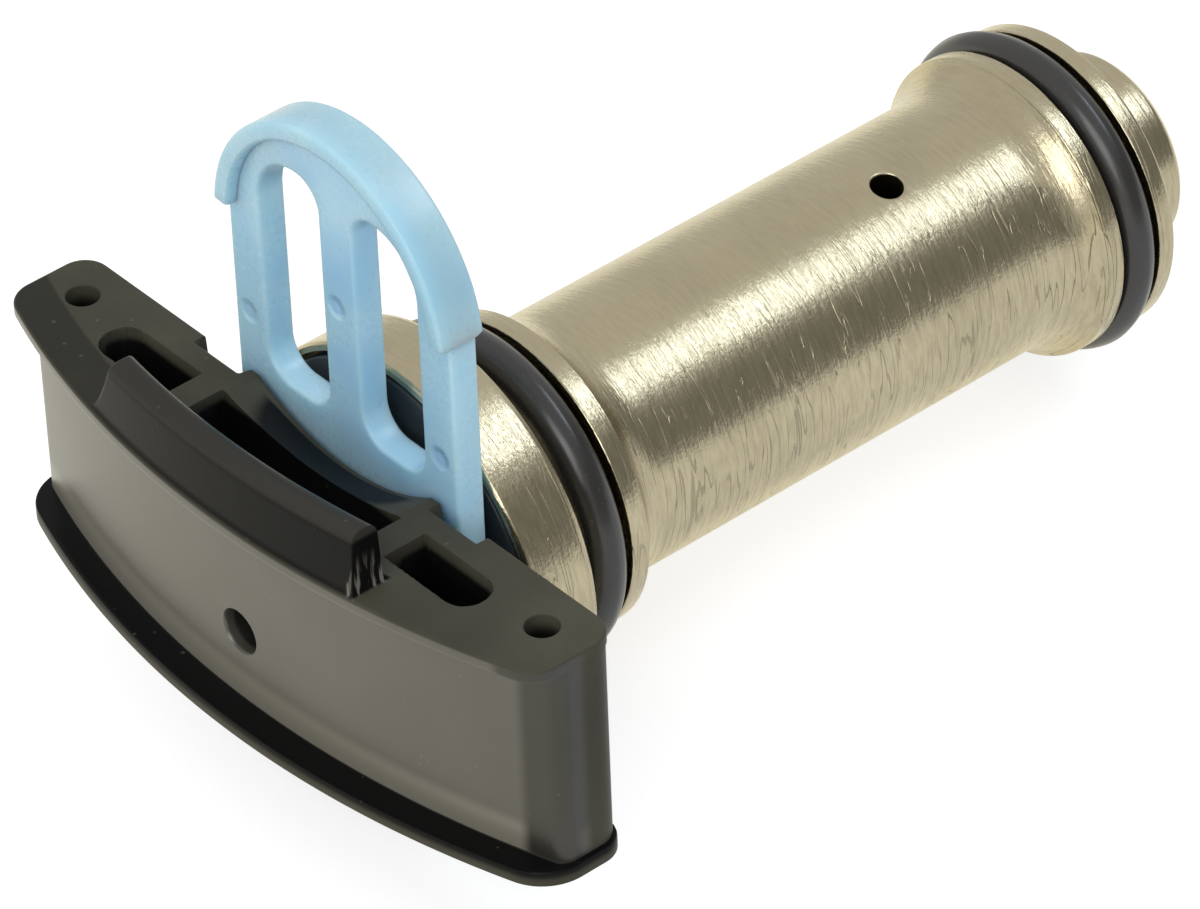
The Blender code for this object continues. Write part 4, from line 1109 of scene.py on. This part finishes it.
insideFinish = {"spacer_sleeve": smoothSteel, "valve_seat": smoothSteel, "ball_cage": smoothSteel,
                "check_ball": brightFinish, "ball_spring": brightFinish,
                "main_spring": brightFinish, "plunger_stop_ring": brightFinish,
                "nose_snap_ring": brightFinish, "metering_disc": brightFinish,
                "plug_seal_ring": rubber, "valve_seal_ring": rubber,
                "volume_filler": naturalFinish}
for node, finish in insideFinish.items():
    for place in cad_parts[node].material_slots:
        place.material = finish

# camera, floor, room and lamps

cameraPlace = {"at": (0.3220, -0.3150, 0.32735), "right": (0.6541, 0.7558, -0.0304),
               "up": (-0.4532, 0.4237, 0.7843), "back": (0.6057, -0.4992, 0.6197),
               "focal": 7598.0, "width": 1200}


def placeCamera(look):
    # the turn's columns are the picture's right, its up and the way back from the object
    data = bpy.data.cameras.new("photoCamera")
    data.sensor_width = 36
    data.lens = look["focal"] / look["width"] * 36
    data.clip_start = 0.01
    data.clip_end = 20
    camera = bpy.data.objects.new("photoCamera", data)
    turn = Matrix((look["right"], look["up"], look["back"])).transposed().to_4x4()
    camera.matrix_world = Matrix.Translation(look["at"]) @ turn
    bpy.context.collection.objects.link(camera)
    bpy.context.scene.camera = camera


placeCamera(cameraPlace)

roomLook = {"floor": (0.50, 0.50, 0.50), "floorGlow": (0.72, 0.72, 0.72),
            "frontGlow": (0.72, 0.68, 0.52), "paintedTubeShadowGlow": (0.52, 0.52, 0.52),
            "farFloor": (0.30, 0.30, 0.30), "farGlow": (0.05, 0.05, 0.05),
            "farFrom": (0.16, 0.32), "besideTube": (0.006, 0.012), "behindShoe": (-0.078, -0.070),
            "floorHalf": 3.0, "floorGap": 0.0001, "air": (0.70, 0.70, 0.70),
            "shade": (0.25, 0.25, 0.25), "shadeWay": (0.80, 0.60), "shadeSide": (0.40, 0.70),
            "shadeTop": (0.74, 0.56)}
white = (1.0, 1.0, 1.0)
black = (0.0, 0.0, 0.0)


def buildFloor(look):
    # a flat sheet under the flange; the camera sees it white, and reflections see it bright
    # in front of the shoe, a little dimmer along the tube's right side as a painted shadow of the
    # tube, and dim far off there
    half = look["floorHalf"]
    level = cadBox[0][2] - look["floorGap"]
    mesh = bpy.data.meshes.new("studioFloor")
    mesh.from_pydata([(-half, -half, level), (half, -half, level), (half, half, level),
                      (-half, half, level)], [], [(0, 1, 2, 3)])
    floor = bpy.data.objects.new("studioFloor", mesh)
    bpy.context.collection.objects.link(floor)
    finish = Finish("studioFloorFinish", roughness=0.9, specular=0.0, glowStrength=1.0)
    x, y, z = finish.parts()
    far = finish.ramp(x, *look["farFrom"])
    finish.paint("colour", finish.blend(far, look["floor"], look["farFloor"]))
    # painted shadow: reflections see the floor dimmer beside the tube's right side, where the
    # tube's shadow falls
    side = finish.ramp(x, *look["besideTube"]) * finish.ramp(y, *look["behindShoe"])
    mirrored = finish.blend(side, look["frontGlow"], look["paintedTubeShadowGlow"])
    mirrored = finish.blend(far, mirrored, look["farGlow"])
    direct = finish.rayIs("Camera")
    glow = finish.blend(direct, mirrored, look["floorGlow"])
    finish.paint("glow", finish.blend(direct + finish.rayIs("Glossy"), black, glow))
    mesh.materials.append(finish.material)


def buildRoom(look):
    # the camera sees white; the object sees a pale room, dimmer on the far side below the top
    world = bpy.data.worlds.new("studioRoom")
    world.use_nodes = True
    bpy.context.scene.world = world
    room = Nodes(world.node_tree, "Generated")
    x, y, z = room.parts()
    alongX, alongY = look["shadeWay"]
    toward = x * alongX + y * alongY
    dim = room.ramp(toward, *look["shadeSide"]) * room.ramp(z, *look["shadeTop"])
    seen = room.blend(room.rayIs("Camera"), room.blend(dim, look["air"], look["shade"]), white)
    back = world.node_tree.nodes["Background"]
    feed(world.node_tree, back.inputs["Color"], seen)
    back.inputs["Strength"].default_value = 1.0


lamps = {"overheadSoftbox": {"way": (0.30, 0.50, 0.80), "distance": 0.7, "size": (0.30, 0.17),
                             "power": 0.78, "colour": (0.74, 0.84, 1.0)},
         "frontSoftbox": {"way": (0.45, -0.70, 0.55), "distance": 0.8, "size": (0.5, 0.5),
                          "power": 2.2, "colour": white}}


def addLamp(name, look, centre=(0, -0.04, 0)):
    # a flat lamp that stands off from the object in one direction and faces it, its width
    # as near to the X direction as that allows
    data = bpy.data.lights.new(name, "AREA")
    data.shape = "RECTANGLE"
    data.size, data.size_y = look["size"]
    data.energy = look["power"]
    data.color = look["colour"]
    lamp = bpy.data.objects.new(name, data)
    way = Vector(look["way"]).normalized()
    across = (Vector((1, 0, 0)) - way * way.x).normalized()
    turn = Matrix((across, way.cross(across), way)).transposed().to_4x4()
    lamp.matrix_world = Matrix.Translation(Vector(centre) + way * look["distance"]) @ turn
    bpy.context.collection.objects.link(lamp)


buildFloor(roomLook)
buildRoom(roomLook)
for name, look in lamps.items():
    addLamp(name, look)
print("studio ready")
